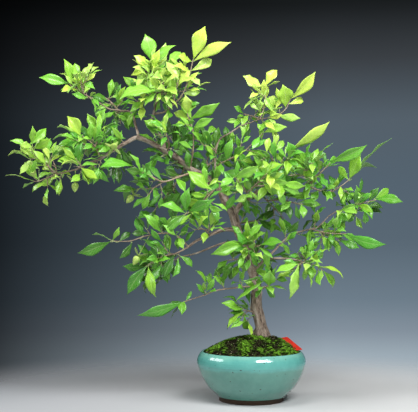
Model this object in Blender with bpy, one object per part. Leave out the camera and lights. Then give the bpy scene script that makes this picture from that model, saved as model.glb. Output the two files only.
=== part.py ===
# A princess-persimmon bonsai in a round glazed pot: pot, drain screen, soil, moss, trunk, branches,
# leafy sprays, hanging fruits and a blank plant tag. Metres, +Z up, standing on z = 0.
import math
import random

import bmesh
import bpy
from mathutils import Matrix, Vector
from mathutils.bvhtree import BVHTree
from mathutils.geometry import intersect_point_line

# Driving dimensions, in metres
potRadius = 0.100  # widest radius of the glazed body
potHeight = 0.090  # foot to rim
potWall = 0.0065
rimDrop = 0.0015  # the rim's fall to its inner edge
heelRadius = 0.064  # where the glaze stops, above the foot
footHeight = 0.0095
footWidth = 0.009
footInset = 0.0045  # the foot ring's step in from the glaze
floorThickness = 0.006
drainHoleRadius = 0.012
screenRadius = 0.021
screenThickness = 0.0010
screenHole = 0.0030
wireRadius = 0.0005
mossThickness = 0.006
fillDrop = 0.010  # the soil's edge below the rim
moundRise = 0.033  # moss at the rim to moss at the trunk
treeScale = 1.0  # the whole plant above the soil
leafThickness = 0.0012
leafScale = 1.0
fruitRadius = 0.0062
fruitHeight = 0.018
tagWidth = 0.022
tagLength = 0.042
tagThickness = 0.0010
tagCorner = 0.002  # cut off each corner
tagPlace = Vector((0.073, 0.0, potHeight + 0.0128))
tagRun = Vector((0.026, -0.026, -0.0205))  # the way it slopes, over the moss to the rim
gap = 0.0003  # between touching pieces
depthSpread = 1.4  # how far the branches spread to the front and back

turnedSides = 28
trunkSides = 10
branchSides = 7
twigSides = 4
cm = 0.01
trunkFoot = Vector((0.019, 0.0, 0.0))

# Routes are drawn as a front elevation in centimetres from the pot's axis and the table. A point's
# depth moves it along its sight line from a viewer standing here, so the elevation keeps its look.
eye = Vector((-0.078, -1.8, 0.30))


def spot(x, y, z):
    depth = y * cm * depthSpread
    spread = (depth - eye.y) / -eye.y
    point = Vector((eye.x + (x * cm - eye.x) * spread, depth, eye.z + (z * cm - eye.z) * spread))
    foot = trunkFoot + Vector((0, 0, potHeight + 0.030))
    return foot + (point - foot) * treeScale


# Main wood: (x, y, z, radius) in centimetres, and the wood it grows from
wood = {
    "trunk": (None, [
        (1.6, 0, 7.6, 1.5), (1.8, 0, 10, 1.6), (1.9, 0, 12, 1.34), (1.7, -0.1, 14, 1.1),
        (1.2, -0.2, 16, 1.03), (0.9, -0.2, 18, 1.0), (1.0, 0, 20, 0.98), (0.8, 0.1, 22, 0.86),
        (0.0, 0, 24, 0.68), (-0.2, -0.1, 26.3, 0.6), (-1.3, 0, 28.5, 0.7), (-2.4, 0, 31, 0.8),
        (-3.0, 0, 33, 0.82), (-3.5, 0, 34.6, 0.85), (-4.6, 0.2, 36.3, 0.76)]),
    "left_leader": ("trunk", [
        (-4.6, 0.2, 36.3, 0.74), (-6, 0.6, 39, 0.7), (-9, 1.2, 41.3, 0.66), (-11.5, 1.2, 42.7, 0.62),
        (-14, 0.8, 44.8, 0.58), (-16, 0.3, 46, 0.55), (-19, -0.3, 47.7, 0.48), (-21.3, -0.6, 48.5, 0.44)]),
    "left_arm": ("left_leader", [
        (-21.3, -0.6, 48.5, 0.42), (-24, -1, 47, 0.33), (-26, -1.2, 45.7, 0.29), (-28, -1.2, 44.4, 0.26),
        (-30, -1.5, 43.6, 0.23), (-32.7, -1.8, 42.3, 0.19)]),
    "upper_spur": ("left_leader", [
        (-20.8, -0.5, 48.3, 0.28), (-21.3, 0.3, 50.2, 0.24), (-22.2, 1, 53, 0.2), (-24, 1.5, 53.4, 0.18),
        (-26.5, 1.5, 53.8, 0.16), (-29, 1.2, 55.5, 0.14)]),
    "top_leader": ("left_leader", [
        (-16, 0.3, 46, 0.4), (-16.5, 0.8, 48.3, 0.36), (-18.3, 1.4, 49.8, 0.32), (-19, 1.5, 50.5, 0.3),
        (-18.2, 1.2, 52.4, 0.27), (-17.6, 0.8, 55, 0.22), (-17.4, 0.5, 57, 0.18)]),
    "right_leader": ("trunk", [
        (-3.2, 0, 34.2, 0.5), (-1.7, 0.5, 36.3, 0.45), (0, 1, 37.4, 0.42), (2, 1.2, 38.6, 0.38),
        (5, 1, 39, 0.32), (8, 0.5, 39, 0.26), (11, 0, 39.6, 0.21)]),
    "low_right_branch": ("trunk", [
        (0.2, 0, 23.4, 0.32), (1.3, -0.4, 24.6, 0.3), (2.8, -0.8, 25.8, 0.26), (6, -1.2, 26, 0.2),
        (9, -1.4, 25.6, 0.15)]),
    "right_branch": ("low_right_branch", [
        (2.6, -0.7, 25.7, 0.22), (4.6, 0, 27.8, 0.21), (6.2, 0.4, 29.5, 0.2), (8, 0.6, 30.6, 0.18),
        (10, 0.6, 31.2, 0.16), (12, 0.3, 31.6, 0.15), (13, 0, 32.4, 0.14), (14.5, -0.2, 34, 0.13)]),
    "middle_left_branch": ("trunk", [
        (-2.5, 0, 31.2, 0.4), (-5, -1.2, 31.3, 0.34), (-8, -2.2, 30.2, 0.3), (-10, -2.8, 29.3, 0.26),
        (-12, -3.2, 27.9, 0.22)]),
    "low_left_branch": ("trunk", [
        (-1.5, 0.2, 28.8, 0.26), (-4.3, 1.5, 29, 0.22), (-7, 2.5, 28.2, 0.2), (-10, 3, 27, 0.18),
        (-13.2, 3, 26.2, 0.15), (-15, 2.6, 25.2, 0.13)]),
    "upright_branch": ("left_leader", [
        (-6.3, 0.6, 39.2, 0.28), (-6.6, 0.4, 41.5, 0.25), (-6.6, 0.2, 45.5, 0.2), (-5.8, 0, 48, 0.17),
        (-4, -0.3, 49.2, 0.15), (-1.8, -0.5, 50.6, 0.14), (0, -0.6, 51.2, 0.13)]),
}

# Leafy sprays: parent wood; twig routes (x, y, z); leaves drawn one by one as
# (x and z of the base, x and z of the tip, width seen, depth of the base, depth of the tip);
# and how many more leaves each twig carries by rule.
sprays = {
    "left_tip_spray": ("left_arm", [
        [(-32.2, -1.75, 42.5), (-36, -1.5, 41.6), (-39.3, -1, 40.3), (-40.4, -0.8, 40.4)],
        [(-36, -1.5, 41.6), (-38.2, -2.6, 43.6), (-40.2, -2.9, 45.2), (-41.3, -3, 46.8)],
        [(-36, -1.5, 41.6), (-36.2, 0.4, 42.8), (-36.8, 1.6, 44.2)]], [
        (-40.4, 40.4, -45.6, 41.3, 1.4, -1, -2), (-40.2, 40.2, -42.3, 39, 0.6, -0.6, 0.5),
        (-41.3, 46.4, -44.7, 47.8, 1.4, -3, -4), (-41.1, 45.6, -45.1, 45, 0.7, -3, -3.5),
        (-39.3, 42.6, -41.8, 43.5, 0.8, -1, 1), (-41.2, 47, -38, 50.2, 1.1, -3, -1.5),
        (-40.5, 46.4, -37.1, 48.2, 0.9, -3, -4.5), (-38, 43.2, -40.5, 46, 1.5, -3.4, -5),
        (-37, 44.4, -35.4, 46.5, 0.9, 1.6, 0.6), (-36.6, 44.4, -33.3, 46.2, 0.6, 1.6, 2.5),
        (-33.2, 43.8, -35.9, 44, 1.3, -2.6, -4.4), (-34.6, 42, -38.2, 40.6, 1.2, -1.6, 0.4),
        (-37.4, 44.6, -39, 48, 1.5, 1.6, 3.2)], 1),
    "left_middle_spray": ("left_arm", [
        [(-27.8, -1.2, 44.5), (-29, -2, 46.8), (-30.6, -2.4, 48.2), (-32, -2.6, 49)],
        [(-29, -2, 46.8), (-28.2, -0.6, 48.4), (-27.9, 0.4, 50.3)],
        [(-29, -2, 46.8), (-30.4, -0.6, 47), (-31.6, 1, 47.4)]], [
        (-31.6, 48.6, -34.1, 52.4, 2.4, -2.6, -3.4), (-32.5, 49, -36, 50.3, 1.2, -2.6, -1),
        (-32.3, 48.4, -36.8, 48, 0.9, -2.6, -3.6), (-29.6, 48, -32, 51.8, 0.6, -1, 0.6),
        (-28, 50.5, -27, 53.8, 2.2, 0.8, -0.6), (-29.4, 47.6, -27.3, 48.6, 1.0, -2.2, -3.4),
        (-31.6, 47.4, -34.2, 46.8, 1.2, 1.6, 3), (-29.3, 47.2, -31.2, 46.2, 1.0, -2.4, -4.2),
        (-27.2, 49, -24.6, 50.6, 1.4, 0.6, 0), (-30.3, 45.2, -28.2, 46, 0.9, 0.2, 1.8)], 2),
    "left_hanging_spray": ("left_arm", [
        [(-30.8, -1.6, 43.3), (-31.2, -2.8, 42.8), (-31.6, -3.6, 42.9)]], [
        (-31.5, 42.8, -28.4, 40.7, 1.3, -3.6, -4.6), (-31.4, 42.6, -30.5, 40.2, 0.9, -3.2, -2)], 1),
    "arm_back_spray": ("left_arm", [
        [(-25, -1.1, 46.4), (-24.4, 0.8, 44.8), (-24.8, 1.8, 43.4)]], [
        (-24.8, 43.6, -26.8, 40.8, 1.5, 1.6, 3), (-24.4, 44.2, -22, 42.6, 1.2, 1.4, 3)], 3),
    "upper_left_spray": ("upper_spur", [
        [(-28.5, 1.25, 55.2), (-31, 1, 56.5), (-33.6, 0.8, 58.2)],
        [(-31, 1, 56.5), (-31.5, 0.2, 58), (-31.6, -0.4, 59.6)]], [
        (-33.8, 58.5, -39.4, 59.6, 1.6, 0.8, -0.4), (-33.5, 58.3, -34.8, 63.1, 1.7, 0.8, 0.2),
        (-32, 57.2, -35.2, 56.9, 1.8, 0.8, -1.6), (-31.6, 59.8, -29.2, 62.4, 2.1, -0.4, -1.6),
        (-31, 56.7, -29.6, 58.4, 1.1, 0.8, 2.4), (-29.4, 55.8, -28.2, 54.2, 1, 1.2, 0)], 1),
    "spur_back_spray": ("upper_spur", [
        [(-24.6, 1.5, 53.5), (-25.4, 3.4, 54.4), (-26.4, 5.6, 55.4), (-27.4, 7.6, 56)],
        [(-25.4, 3.4, 54.4), (-24.6, 4.6, 52.8), (-24.2, 5.4, 51)]], [
        (-24.8, 54.4, -25.2, 57.5, 0.6, 2, 1), (-24.4, 52, -21.6, 50.6, 1.2, 4.8, 3.6)], 4),
    "middle_left_spray": ("left_leader", [
        [(-10, 1.2, 41.9), (-11.8, -1.2, 41.6), (-13.6, -2.4, 41), (-16.3, -3, 40.2), (-18.5, -3.2, 41.2),
         (-20.3, -3.4, 41.9), (-21.6, -3.4, 43)],
        [(-16.3, -3, 40.2), (-18.3, -2.2, 39), (-21, -1.6, 38.9)]], [
        (-21.7, 43.1, -28.1, 42.7, 2.3, -3.4, -5), (-21.2, 38.8, -25.1, 37.2, 1.4, -1.6, -2.8),
        (-21.1, 38.7, -24.5, 35.9, 1.2, -1.6, 0), (-18.2, 39, -17.4, 36.3, 1.3, -2.2, -1.6),
        (-14, 40.8, -12.2, 38.2, 1.4, -2.4, -3.4), (-16.4, 40.4, -19.5, 43.2, 1.6, -3, -1.4),
        (-20.4, 42, -22.6, 45.4, 1.3, -3.4, -4.4)], 1),
    "hub_spray": ("left_leader", [
        [(-6.4, 0.7, 39.4), (-7.4, -2, 38), (-9.2, -3.8, 36.2), (-11, -4.8, 34.8), (-12.2, -5.2, 34.2)],
        [(-9.2, -3.8, 36.2), (-8.4, -5, 37.4), (-7.4, -5.8, 38.4)]], [
        (-12.2, 34.4, -17, 35.8, 1.9, -5.2, -6.6), (-12, 34.6, -11.4, 39.2, 2, -5.2, -6.4),
        (-11.6, 34.6, -6.8, 36.9, 1.3, -5, -6.6), (-11, 34.8, -9, 32.6, 1.1, -4.8, -6),
        (-12.3, 34, -15.9, 31, 1.2, -5.2, -6), (-12.4, 34.1, -15.9, 32.6, 0.8, -5.2, -3.6),
        (-7.2, 38.6, -11.8, 42.2, 2.6, -5.8, -7)], 0),
    "shadow_left_spray": ("left_leader", [
        [(-12.2, 1.1, 43.2), (-13, 3, 41.4), (-14.6, 4.6, 39), (-16.6, 5.6, 36.6), (-18.4, 6.2, 34.2)],
        [(-14.6, 4.6, 39), (-13, 6.6, 36.8), (-11.4, 8, 36.2)]], [
        (-18.4, 34.4, -21, 33.4, 1.9, 6.2, 5), (-17.6, 35.4, -20.4, 36.6, 1.2, 5.8, 4.4),
        (-17, 36, -13, 38.2, 0.9, 5.6, 3.4), (-18.3, 34, -16.4, 31.6, 1.6, 6.2, 5)], 3),
    "outer_left_spray": ("middle_left_branch", [
        [(-11.6, -3.1, 28.2), (-12.7, -3.8, 29.2), (-13.6, -4, 30.1), (-15, -4, 30.6), (-17, -3.8, 30.6),
         (-20, -3.4, 30), (-22.5, -3, 29.2), (-25.8, -2.6, 29.2)]], [
        (-26, 29.1, -32.1, 27, 1.1, -2.6, -3.8), (-26.1, 29.5, -29.4, 30.4, 0.7, -2.6, -1),
        (-25.6, 29.4, -24.4, 31.8, 0.5, -2.6, -3.4), (-24.4, 29.1, -22.2, 30.8, 1.2, -2.8, -1.2),
        (-22, 29, -24.4, 26, 0.9, -3, -4.2), (-20.6, 29.7, -17.2, 26.6, 1.6, -3.4, -5),
        (-16.5, 30.8, -20, 34.2, 1.9, -3.8, -4.6), (-13.7, 29.9, -13.5, 27.6, 1.2, -4, -5.4),
        (-20, 30.2, -21.4, 33.6, 1.6, -3.4, -1.6), (-15, 30.8, -13.2, 33, 1.2, -4, -2)], 0),
    "lower_left_spray": ("middle_left_branch", [
        [(-11.5, -3.1, 28.2), (-14, -3.6, 26.9), (-16.2, -4, 26.4), (-19, -4.2, 24.9)],
        [(-16.2, -4, 26.4), (-17.4, -2.4, 25.6), (-19.4, -1.2, 24.6)]], [
        (-18.8, 24.8, -14.9, 25.9, 1.6, -4.2, -6), (-19.2, 24.6, -22.9, 19.3, 1.9, -4.2, -5),
        (-19, 24.4, -17.6, 18.8, 1.9, -4.2, -5.2), (-19.6, 24.5, -23.8, 24.6, 1.2, -1.2, -2),
        (-14.2, 26.6, -16.1, 22.4, 1.4, -3.6, -4.4), (-19.5, 24.4, -20.8, 21.2, 1.3, -1.2, 0.4)], 1),
    "low_left_tip_spray": ("low_left_branch", [
        [(-14.6, 2.7, 25.4), (-16.6, 2.4, 24), (-18.6, 2, 22.8)],
        [(-16.6, 2.4, 24), (-17.2, 4.2, 24.4), (-18, 6, 25)]], [
        (-18.6, 22.8, -21.6, 21.8, 1.4, 2, 1), (-18.4, 22.8, -19.4, 19.6, 1.3, 2, 3.4),
        (-16.6, 24, -15.4, 21.4, 1.4, 2.4, 1.2)], 2),
    "lowest_left_spray": ("trunk", [
        [(1, -0.1, 21), (-2, -0.8, 20.7), (-6.5, -1.2, 20.1), (-8.5, -1.4, 19.3), (-12.2, -1.6, 18.1)]], [
        (-12.4, 18, -15.6, 17.4, 1.3, -1.6, -0.6), (-12.4, 18, -21, 15.5, 1.3, -1.6, -3.4),
        (-12.3, 18.1, -12.8, 15.6, 1.6, -1.6, -2.8), (-12, 18.2, -11, 20, 0.6, -1.6, -1),
        (-12.4, 18.1, -14.8, 15, 0.9, -1.6, 0.2), (-8.6, 19.4, -10.2, 21.4, 1.1, -1.4, -2.6)], 0),
    "top_crown_spray": ("top_leader", [
        [(-17.44, 0.56, 56.6), (-17.8, 0.4, 59), (-18.2, 0.2, 61.2), (-18.4, 0, 62.6)],
        [(-17.8, 0.4, 59), (-19, -0.8, 59.8), (-19.6, -1.4, 60.2)],
        [(-17.8, 0.4, 59), (-16.4, 1.6, 60.6), (-15.4, 2.4, 62)]], [
        (-18.5, 62.7, -19.7, 67.7, 3, 0, -0.8), (-18.6, 61, -21.8, 63.7, 2.2, 0, -1.2),
        (-19.3, 60, -22, 61.5, 1.8, -1.4, -2.8), (-18.9, 59.2, -22.3, 58.6, 1.6, -0.8, 0.4),
        (-18, 61.6, -14, 65.6, 2.5, 0.2, -1.4), (-19.2, 60.2, -16.4, 59.4, 1.5, -1.4, -3.4),
        (-15.4, 62.2, -13, 64.4, 2.2, 2.4, 3.6), (-16.6, 60.4, -14.2, 60.2, 1.2, 1.6, 0)], 1),
    "top_front_spray": ("top_leader", [
        [(-17.7, 0.9, 54.6), (-16.9, -0.8, 56), (-16.2, -2.2, 57.6), (-16.4, -3, 59)],
        [(-16.9, -0.8, 56), (-19.2, -1, 55.2), (-21.4, -1, 55.2)]], [
        (-16.8, 57, -24.6, 55.4, 2.8, -3, -4.6), (-16.4, 59, -18.2, 61.4, 1.8, -3, -4.4),
        (-16.2, 58.4, -13.4, 60, 2, -2.8, -4.4), (-16.2, 57.4, -13.6, 56.2, 1.7, -2.2, -3.8),
        (-21.4, 55.4, -23.8, 57.4, 0.8, -1, 0), (-20, 54.2, -20.4, 51.6, 1.4, -0.2, -1.8),
        (-16.8, 56.2, -14.6, 53.6, 1.4, -1.2, -2.8)], 0),
    "crown_right_spray": ("top_leader", [
        [(-18.1, 1.15, 52.8), (-16, 0.4, 53.2), (-14.4, -0.2, 54.6), (-13, -0.6, 56), (-11.8, -0.8, 58.6),
         (-11.2, -1, 61), (-10.8, -1, 62.8)],
        [(-14.4, -0.2, 54.6), (-14, -1.6, 57), (-13.4, -2.6, 59)]], [
        (-10.7, 63, -8.5, 69.2, 3, -1, -1.8), (-11, 62.6, -13.6, 63.6, 2.4, -1, -2.2),
        (-10.7, 62.6, -3.7, 66.2, 1.6, -1, -2.4), (-11.2, 60.8, -7.3, 63, 1.3, -1, 0.6),
        (-11.4, 60, -9.4, 58, 1.5, -1, -2.2), (-11.4, 60.4, -14.4, 61.8, 1.4, -1, -3),
        (-13.4, 59.2, -16, 62.4, 2, -2.6, -4), (-13.5, 58.6, -10.6, 59.4, 1.2, -2.4, -3.6),
        (-13.6, 57.2, -15.6, 57, 1.5, -1.8, -3.2), (-12.8, 56.6, -9.4, 56.9, 1, -0.6, 0.6)], 1),
    "crown_back_spray": ("top_leader", [
        [(-17.5, 0.75, 55.6), (-16.8, 3, 57), (-16, 5.2, 58.6), (-15, 7, 60.4)],
        [(-16.8, 3, 57), (-18.8, 4.6, 57), (-21, 6, 56.8)],
        [(-16.8, 3, 57), (-14.4, 4.6, 56.8), (-11.8, 6.4, 57.2)]], [
        (-15, 60.6, -13.4, 64, 1.8, 7, 6), (-21, 57, -22.6, 59.4, 1.4, 6, 5)], 4),
    "side_twig_spray": ("left_leader", [
        [(-11.3, 1.2, 42.7), (-10.8, 0.4, 45.6), (-10.7, -0.2, 49), (-11.2, -0.6, 51),
         (-11.8, -0.8, 52.8)]], [
        (-11.8, 53, -12.2, 56.4, 2, -0.8, -2.2), (-11.3, 51.8, -5.8, 54.9, 1, -0.8, -1.8),
        (-10.8, 50, -7, 52, 1.2, -0.4, -1.6), (-10.8, 49.8, -14.5, 50.5, 1.1, -0.2, -1.4),
        (-11.4, 51.6, -14.4, 53, 1.3, -0.6, 1), (-10.8, 46.2, -13.4, 47.6, 1.2, 0.2, -1.2),
        (-11.8, 52.4, -9.6, 54.4, 1.2, -0.8, 0.8)], 0),
    "leader_spur_spray": ("left_leader", [
        [(-15.6, 0.5, 45.8), (-15.2, -1.4, 47.2), (-15.8, -2.4, 49.2), (-16.2, -2.8, 50.4)]], [
        (-16.2, 50.4, -15.6, 53, 1, -2.8, -3.4), (-16.1, 50.2, -18.8, 51.2, 1.2, -2.8, -4),
        (-15.6, 48.8, -13.2, 49.2, 1, -2.2, -3.6)], 1),
    "upper_right_spray": ("upright_branch", [
        [(-0.6, -0.55, 51), (1.6, -0.8, 51.8), (3.5, -1, 52.1), (5, -1.1, 52.6), (6.5, -1.2, 53.8),
         (7.3, -1.2, 55.6)],
        [(1.6, -0.8, 51.8), (2.6, -1.2, 54.6), (2.5, -1.4, 57.4)],
        [(1.6, -0.8, 51.8), (0.2, 0.8, 52.4), (-1.4, 1.6, 52.8)]], [
        (-1.4, 52.8, -3.2, 54.2, 1.3, 1.6, 1), (-0.4, 52.6, -1.8, 50.4, 1.2, 1.2, 0),
        (2.3, 57.8, -1.5, 59.9, 2.7, -1.4, -2.4), (2.6, 58, 4.9, 61, 2, -1.4, -1),
        (2.6, 57.6, 5.4, 58.9, 0.8, -1.4, -2.6), (6.4, 54, 5.9, 58.3, 3, -1.2, -2.8),
        (2.4, 57, 0, 56, 0.9, -1.4, -0.2), (2.5, 56.4, -1.4, 53.6, 1.2, -1.4, -2.4),
        (4.6, 52.8, 4, 55.8, 2, -1.1, 0.8), (5, 52.4, 9.2, 52, 1, -1.1, -2),
        (7.3, 55.6, 12, 60.7, 1.1, -1.2, -2), (4.2, 52.2, 1.6, 49.6, 1.5, -1.1, -2.4),
        (7, 54.6, 9.6, 55.4, 1.2, -1.2, 0.4)], 0),
    "upright_low_spray": ("upright_branch", [
        [(-6.5, 0.3, 43), (-5.2, -1, 43.8), (-3.6, -1.8, 44.6), (-1.8, -2, 45.4), (0, -2, 47),
         (2.2, -2, 49.2)]], [
        (2.3, 49.3, 6.7, 50.4, 1.1, -2, -3), (1.6, 48.7, 0.2, 46.2, 1.4, -2, -3.4),
        (2, 49.2, 1.2, 51, 1, -2, -2.6), (-4.6, 44.2, -3.4, 48.2, 1.8, -1.6, -2.8),
        (-3.4, 44.8, -1.2, 46.8, 1, -1.8, -3.6), (-0.8, 46.2, -3, 43.8, 1.2, -2, -3.6),
        (-5.6, 43.6, -5.2, 41.4, 1.2, -1, -2.6)], 0),
    "upright_side_spray": ("upright_branch", [
        [(-6.5, 0.2, 45.8), (-8, 1, 46.8), (-10, 1.6, 47.9)]], [
        (-10, 48, -12.4, 48.8, 0.9, 1.6, 2.6), (-9, 47.4, -8.6, 49.6, 1.1, 1.4, 0)], 2),
    "canopy_front_spray": ("right_leader", [
        [(-0.6, 0.85, 37), (-0.8, -1.2, 38.2), (-1.8, -3, 39.6), (-3, -4.6, 41)],
        [(-0.8, -1.2, 38.2), (0.6, -3, 39.4), (1.8, -4.4, 40.6), (2.8, -5.4, 41.6)],
        [(0.6, -3, 39.4), (3.4, -3.8, 39.6), (5.6, -4.4, 40)]], [
        (-3.2, 41, 1.4, 43.2, 1, -4.6, -6), (-3, 41.2, -2.6, 44.2, 0.8, -4.6, -5),
        (-3.2, 41, -5.8, 39.2, 1.6, -4.6, -5.8), (-2.6, 40.2, -1.6, 37.6, 1.2, -3.8, -5.2),
        (2.9, 41.7, 5.8, 43.4, 1.4, -5.4, -6.8), (2.6, 41.6, 0.4, 40.6, 1.3, -5.2, -7),
        (3, 41.6, 3.6, 38.8, 1.6, -5.4, -6.6), (5.6, 40, 10, 39.4, 1.3, -4.4, -5.6),
        (5.2, 40, 5.2, 36.8, 1.5, -4.2, -5.6), (3.2, 39.6, 1.2, 36.6, 1.5, -3.8, -5),
        (1.5, 40.2, 0.2, 43.2, 1.4, -4, -3)], 1),
    "canopy_top_spray": ("right_leader", [
        [(3.4, 1.15, 38.9), (4.4, -0.4, 41), (5.6, -1.4, 43), (6.8, -2, 44.4), (7.6, -2.2, 46.2)],
        [(5.6, -1.4, 43), (4, -2.2, 44.2), (2.8, -2.6, 45.6)]], [
        (7.2, 45, 6.8, 47.6, 2.1, -2.2, -3.2), (7.6, 46.4, 14.6, 51.4, 0.8, -2.2, -3.6),
        (7.7, 46.2, 11.6, 47.6, 0.7, -2.2, -0.8), (4, 44, 1.2, 46.2, 1.1, -2, -3.4),
        (2.9, 45.6, 3.4, 48.4, 1.2, -2.6, -2), (5, 42.2, 2.2, 42.2, 1.2, -1, -2.2),
        (6.4, 44, 9, 43, 1.4, -1.8, -3.2), (5.8, 43.2, 4.4, 45.6, 1.3, -1.4, 0.4)], 1),
    "canopy_right_spray": ("right_leader", [
        [(10.4, 0.1, 39.5), (11.6, -1, 40.6), (13.4, -1.7, 42.4), (14.6, -2, 43.6)],
        [(11.6, -1, 40.6), (10.6, -2, 42.4), (11.2, -2.4, 44)],
        [(11.6, -1, 40.6), (10, -1.8, 41.2), (8.8, -2, 42)]], [
        (11.4, 44.2, 15.2, 47.4, 1.1, -2.4, -3.4), (14.6, 43.8, 21.5, 47, 1.1, -2, -3.4),
        (13.8, 42.8, 17, 43.4, 0.8, -1.8, -0.6), (10.4, 43, 8.2, 45.2, 1.4, -2, -0.8),
        (9.6, 42.2, 11.6, 40.4, 1.6, -1.8, -3.4), (8.6, 41.2, 6.4, 42.4, 1.4, -1, -2.8),
        (12.8, 41.4, 14.2, 39, 1.4, -1.2, -2.8), (11.2, 43.8, 12.4, 46.4, 1.2, -2.4, -1)], 1),
    "canopy_end_spray": ("right_leader", [
        [(10.4, 0.1, 39.5), (12.6, 0.2, 38.6), (14.6, -0.4, 38.3), (16.4, -1, 39.2), (18.2, -1.4, 40.6)]], [
        (18.2, 40.8, 20.3, 45.4, 2.6, -1.4, -2.6), (18.3, 40.8, 26.1, 48.3, 0.9, -1.4, -2.6),
        (18.2, 40.4, 23.3, 42.8, 0.7, -1.4, 0), (16.6, 39.4, 16.6, 36.8, 1.1, -1, -2),
        (13, 38.5, 15.2, 36.8, 1.5, 0, -1.6), (12.4, 38.6, 11, 36, 1.4, 0.2, -1.2),
        (15.4, 38.6, 14.4, 41.4, 1.4, -0.6, 0.8), (18, 40.6, 16.2, 43, 1.2, -1.4, 0.4)], 0),
    "canopy_under_spray": ("right_leader", [
        [(1.6, 1.2, 38.3), (3, 3, 36.6), (4.6, 4.4, 35), (6, 5.4, 33.4)],
        [(3, 3, 36.6), (5, 1.2, 36.8), (7.4, -0.6, 36.4), (9.4, -2, 36)]], [
        (9.4, 36.2, 12.2, 36, 1.3, -2, -3), (9.2, 36, 9.6, 33.4, 1.5, -2, -3),
        (7.4, 36.6, 5.4, 34.6, 1.5, -1.4, -2.8), (6.2, 37.4, 8.6, 38, 1.2, -0.6, -2.2),
        (6, 33.4, 7.4, 30.6, 1.5, 5.4, 4.4), (4.4, 35, 2.4, 32.8, 1.5, 4.4, 3.4)], 2),
    "canopy_back_spray": ("right_leader", [
        [(1.8, 1.2, 38.5), (2, 3.8, 40), (2.4, 6.4, 41.4), (3, 9, 42.4)],
        [(2, 3.8, 40), (4.6, 5, 40.8), (7.6, 6.4, 41.4), (10.4, 8.2, 41.8)],
        [(2, 3.8, 40), (-0.4, 6.6, 41.4), (-2.8, 8.8, 43.2)]], [
        (3, 42.6, 2.4, 45.6, 1.6, 9, 8)], 5),
    "leader_back_spray": ("left_leader", [
        [(-8.4, 1.1, 41), (-8.2, 3.8, 43), (-8, 6.6, 45), (-7.6, 9, 47)],
        [(-8.2, 3.8, 43), (-5.4, 6.4, 45), (-3, 8.2, 46.8)]], [
        (-7.6, 47.2, -9, 50, 1.6, 9, 8)], 5),
    "leader_rear_spray": ("left_leader", [
        [(-14, 0.9, 44.8), (-13.8, 3.6, 46.2), (-14.4, 6.4, 47.6), (-15.2, 9, 48.6)]], [
        (-14.2, 47.4, -16.4, 45.6, 1.4, 6, 5)], 6),
    "far_right_spray": ("right_branch", [
        [(14.2, -0.2, 33.8), (16, -0.4, 34.8), (18, -0.6, 35.3), (20, -1, 36.1), (23, -1.4, 36.8)],
        [(18, -0.6, 35.3), (19.6, 1, 35.4), (21.2, 2.4, 35)]], [
        (23, 36.9, 28.1, 36.4, 1.6, -1.4, -2.6), (22.8, 37, 25.5, 39, 1, -1.4, 0),
        (20.6, 36.2, 22.4, 33.2, 1.8, -1, -2.6), (18.2, 35.2, 17.8, 32.8, 1.4, -0.6, -1.8),
        (19.8, 36.2, 22.2, 38.2, 0.9, -1, -2), (21.2, 35, 24.2, 34.4, 1.2, 2.4, 2),
        (17.8, 35.4, 16.6, 37, 0.8, -0.6, 0.6), (21, 35, 21, 32.4, 1.2, 2.4, 3.4)], 0),
    "right_low_spray": ("right_branch", [
        [(11.2, 0.4, 31.4), (13, -0.8, 30.9), (15, -1.4, 30.6), (17.4, -1.8, 30.6)],
        [(13, -0.8, 30.9), (14, 0.8, 30.2), (14.9, 2.4, 30)]], [
        (17.5, 30.6, 25, 28.6, 1.4, -1.8, -3.2), (14.6, 30.6, 15, 28.6, 1.3, -1.4, -2.6),
        (16.6, 30.6, 19.4, 29.4, 1, -1.6, -0.2), (15.4, 30.8, 17.4, 32.6, 1, -1.4, 0),
        (14.8, 30, 14, 28, 1.2, 2.4, 3), (14.8, 30.2, 17.6, 28.2, 1.2, 2.4, 4)], 1),
    "low_right_spray": ("low_right_branch", [
        [(8.4, -1.35, 25.7), (10.2, -1.6, 25.2), (12.2, -2, 24.6), (13.2, -2.2, 23.8)],
        [(10.2, -1.6, 25.2), (9.8, 0.4, 26.2), (8.8, 2.2, 27)],
        [(10.2, -1.6, 25.2), (9.6, -2.9, 25.2), (8.9, -3.8, 25)]], [
        (8.7, 25, 4.4, 23.4, 1.8, -3.8, -5), (8.8, 24.9, 7, 18.5, 1.6, -3.8, -4.8),
        (10.4, 25.4, 13.2, 26.2, 1.2, -1.6, -2.8), (10.2, 25, 11.4, 22.2, 1.5, -1.6, -2.8),
        (12.3, 24.6, 17, 22.3, 1.5, -2, -3.2), (13.2, 23.8, 15, 20.6, 1.5, -2.2, -1.2),
        (9.7, 25.6, 11.2, 28.6, 1.1, -1.6, -0.4), (8.6, 27.1, 11.2, 28, 1, 2.2, 3.4),
        (8.6, 27, 8.6, 24.6, 1.3, 2.2, 3.2), (7.2, 26.7, 5.6, 28.8, 1.1, 0.6, -0.6),
        (13, 23.9, 12.6, 21.2, 1.1, -2.2, -3.6)], 0),
    "trunk_front_spray": ("trunk", [
        [(-0.6, -0.1, 27.4), (0.4, -1.8, 28), (1.6, -2.8, 28.4)],
        [(0.4, -1.8, 28), (-0.4, -2.8, 28.4), (-1.2, -3.4, 28.6)]], [
        (-0.4, 28.5, -2.8, 30.8, 1.9, -3, -4), (-1.2, 28.6, -7.5, 26.7, 1.7, -3.4, -5),
        (1.7, 28.5, 5.8, 29, 2, -2.8, -4), (1.2, 28.2, 4, 26, 1.2, -2.6, -3.8),
        (-1, 28.4, -1.4, 25.8, 1.3, -3.2, -4.4)], 0),
    "trunk_right_spray": ("trunk", [
        [(1, -0.1, 20), (2.4, -1.2, 20.6), (3.4, -1.8, 21.4), (3.4, -2.2, 22.6)]], [
        (3.4, 22.6, -3, 18, 1.5, -2.2, -3.4), (3.2, 22.8, -1.8, 21.4, 1, -2.2, -3.8),
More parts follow.
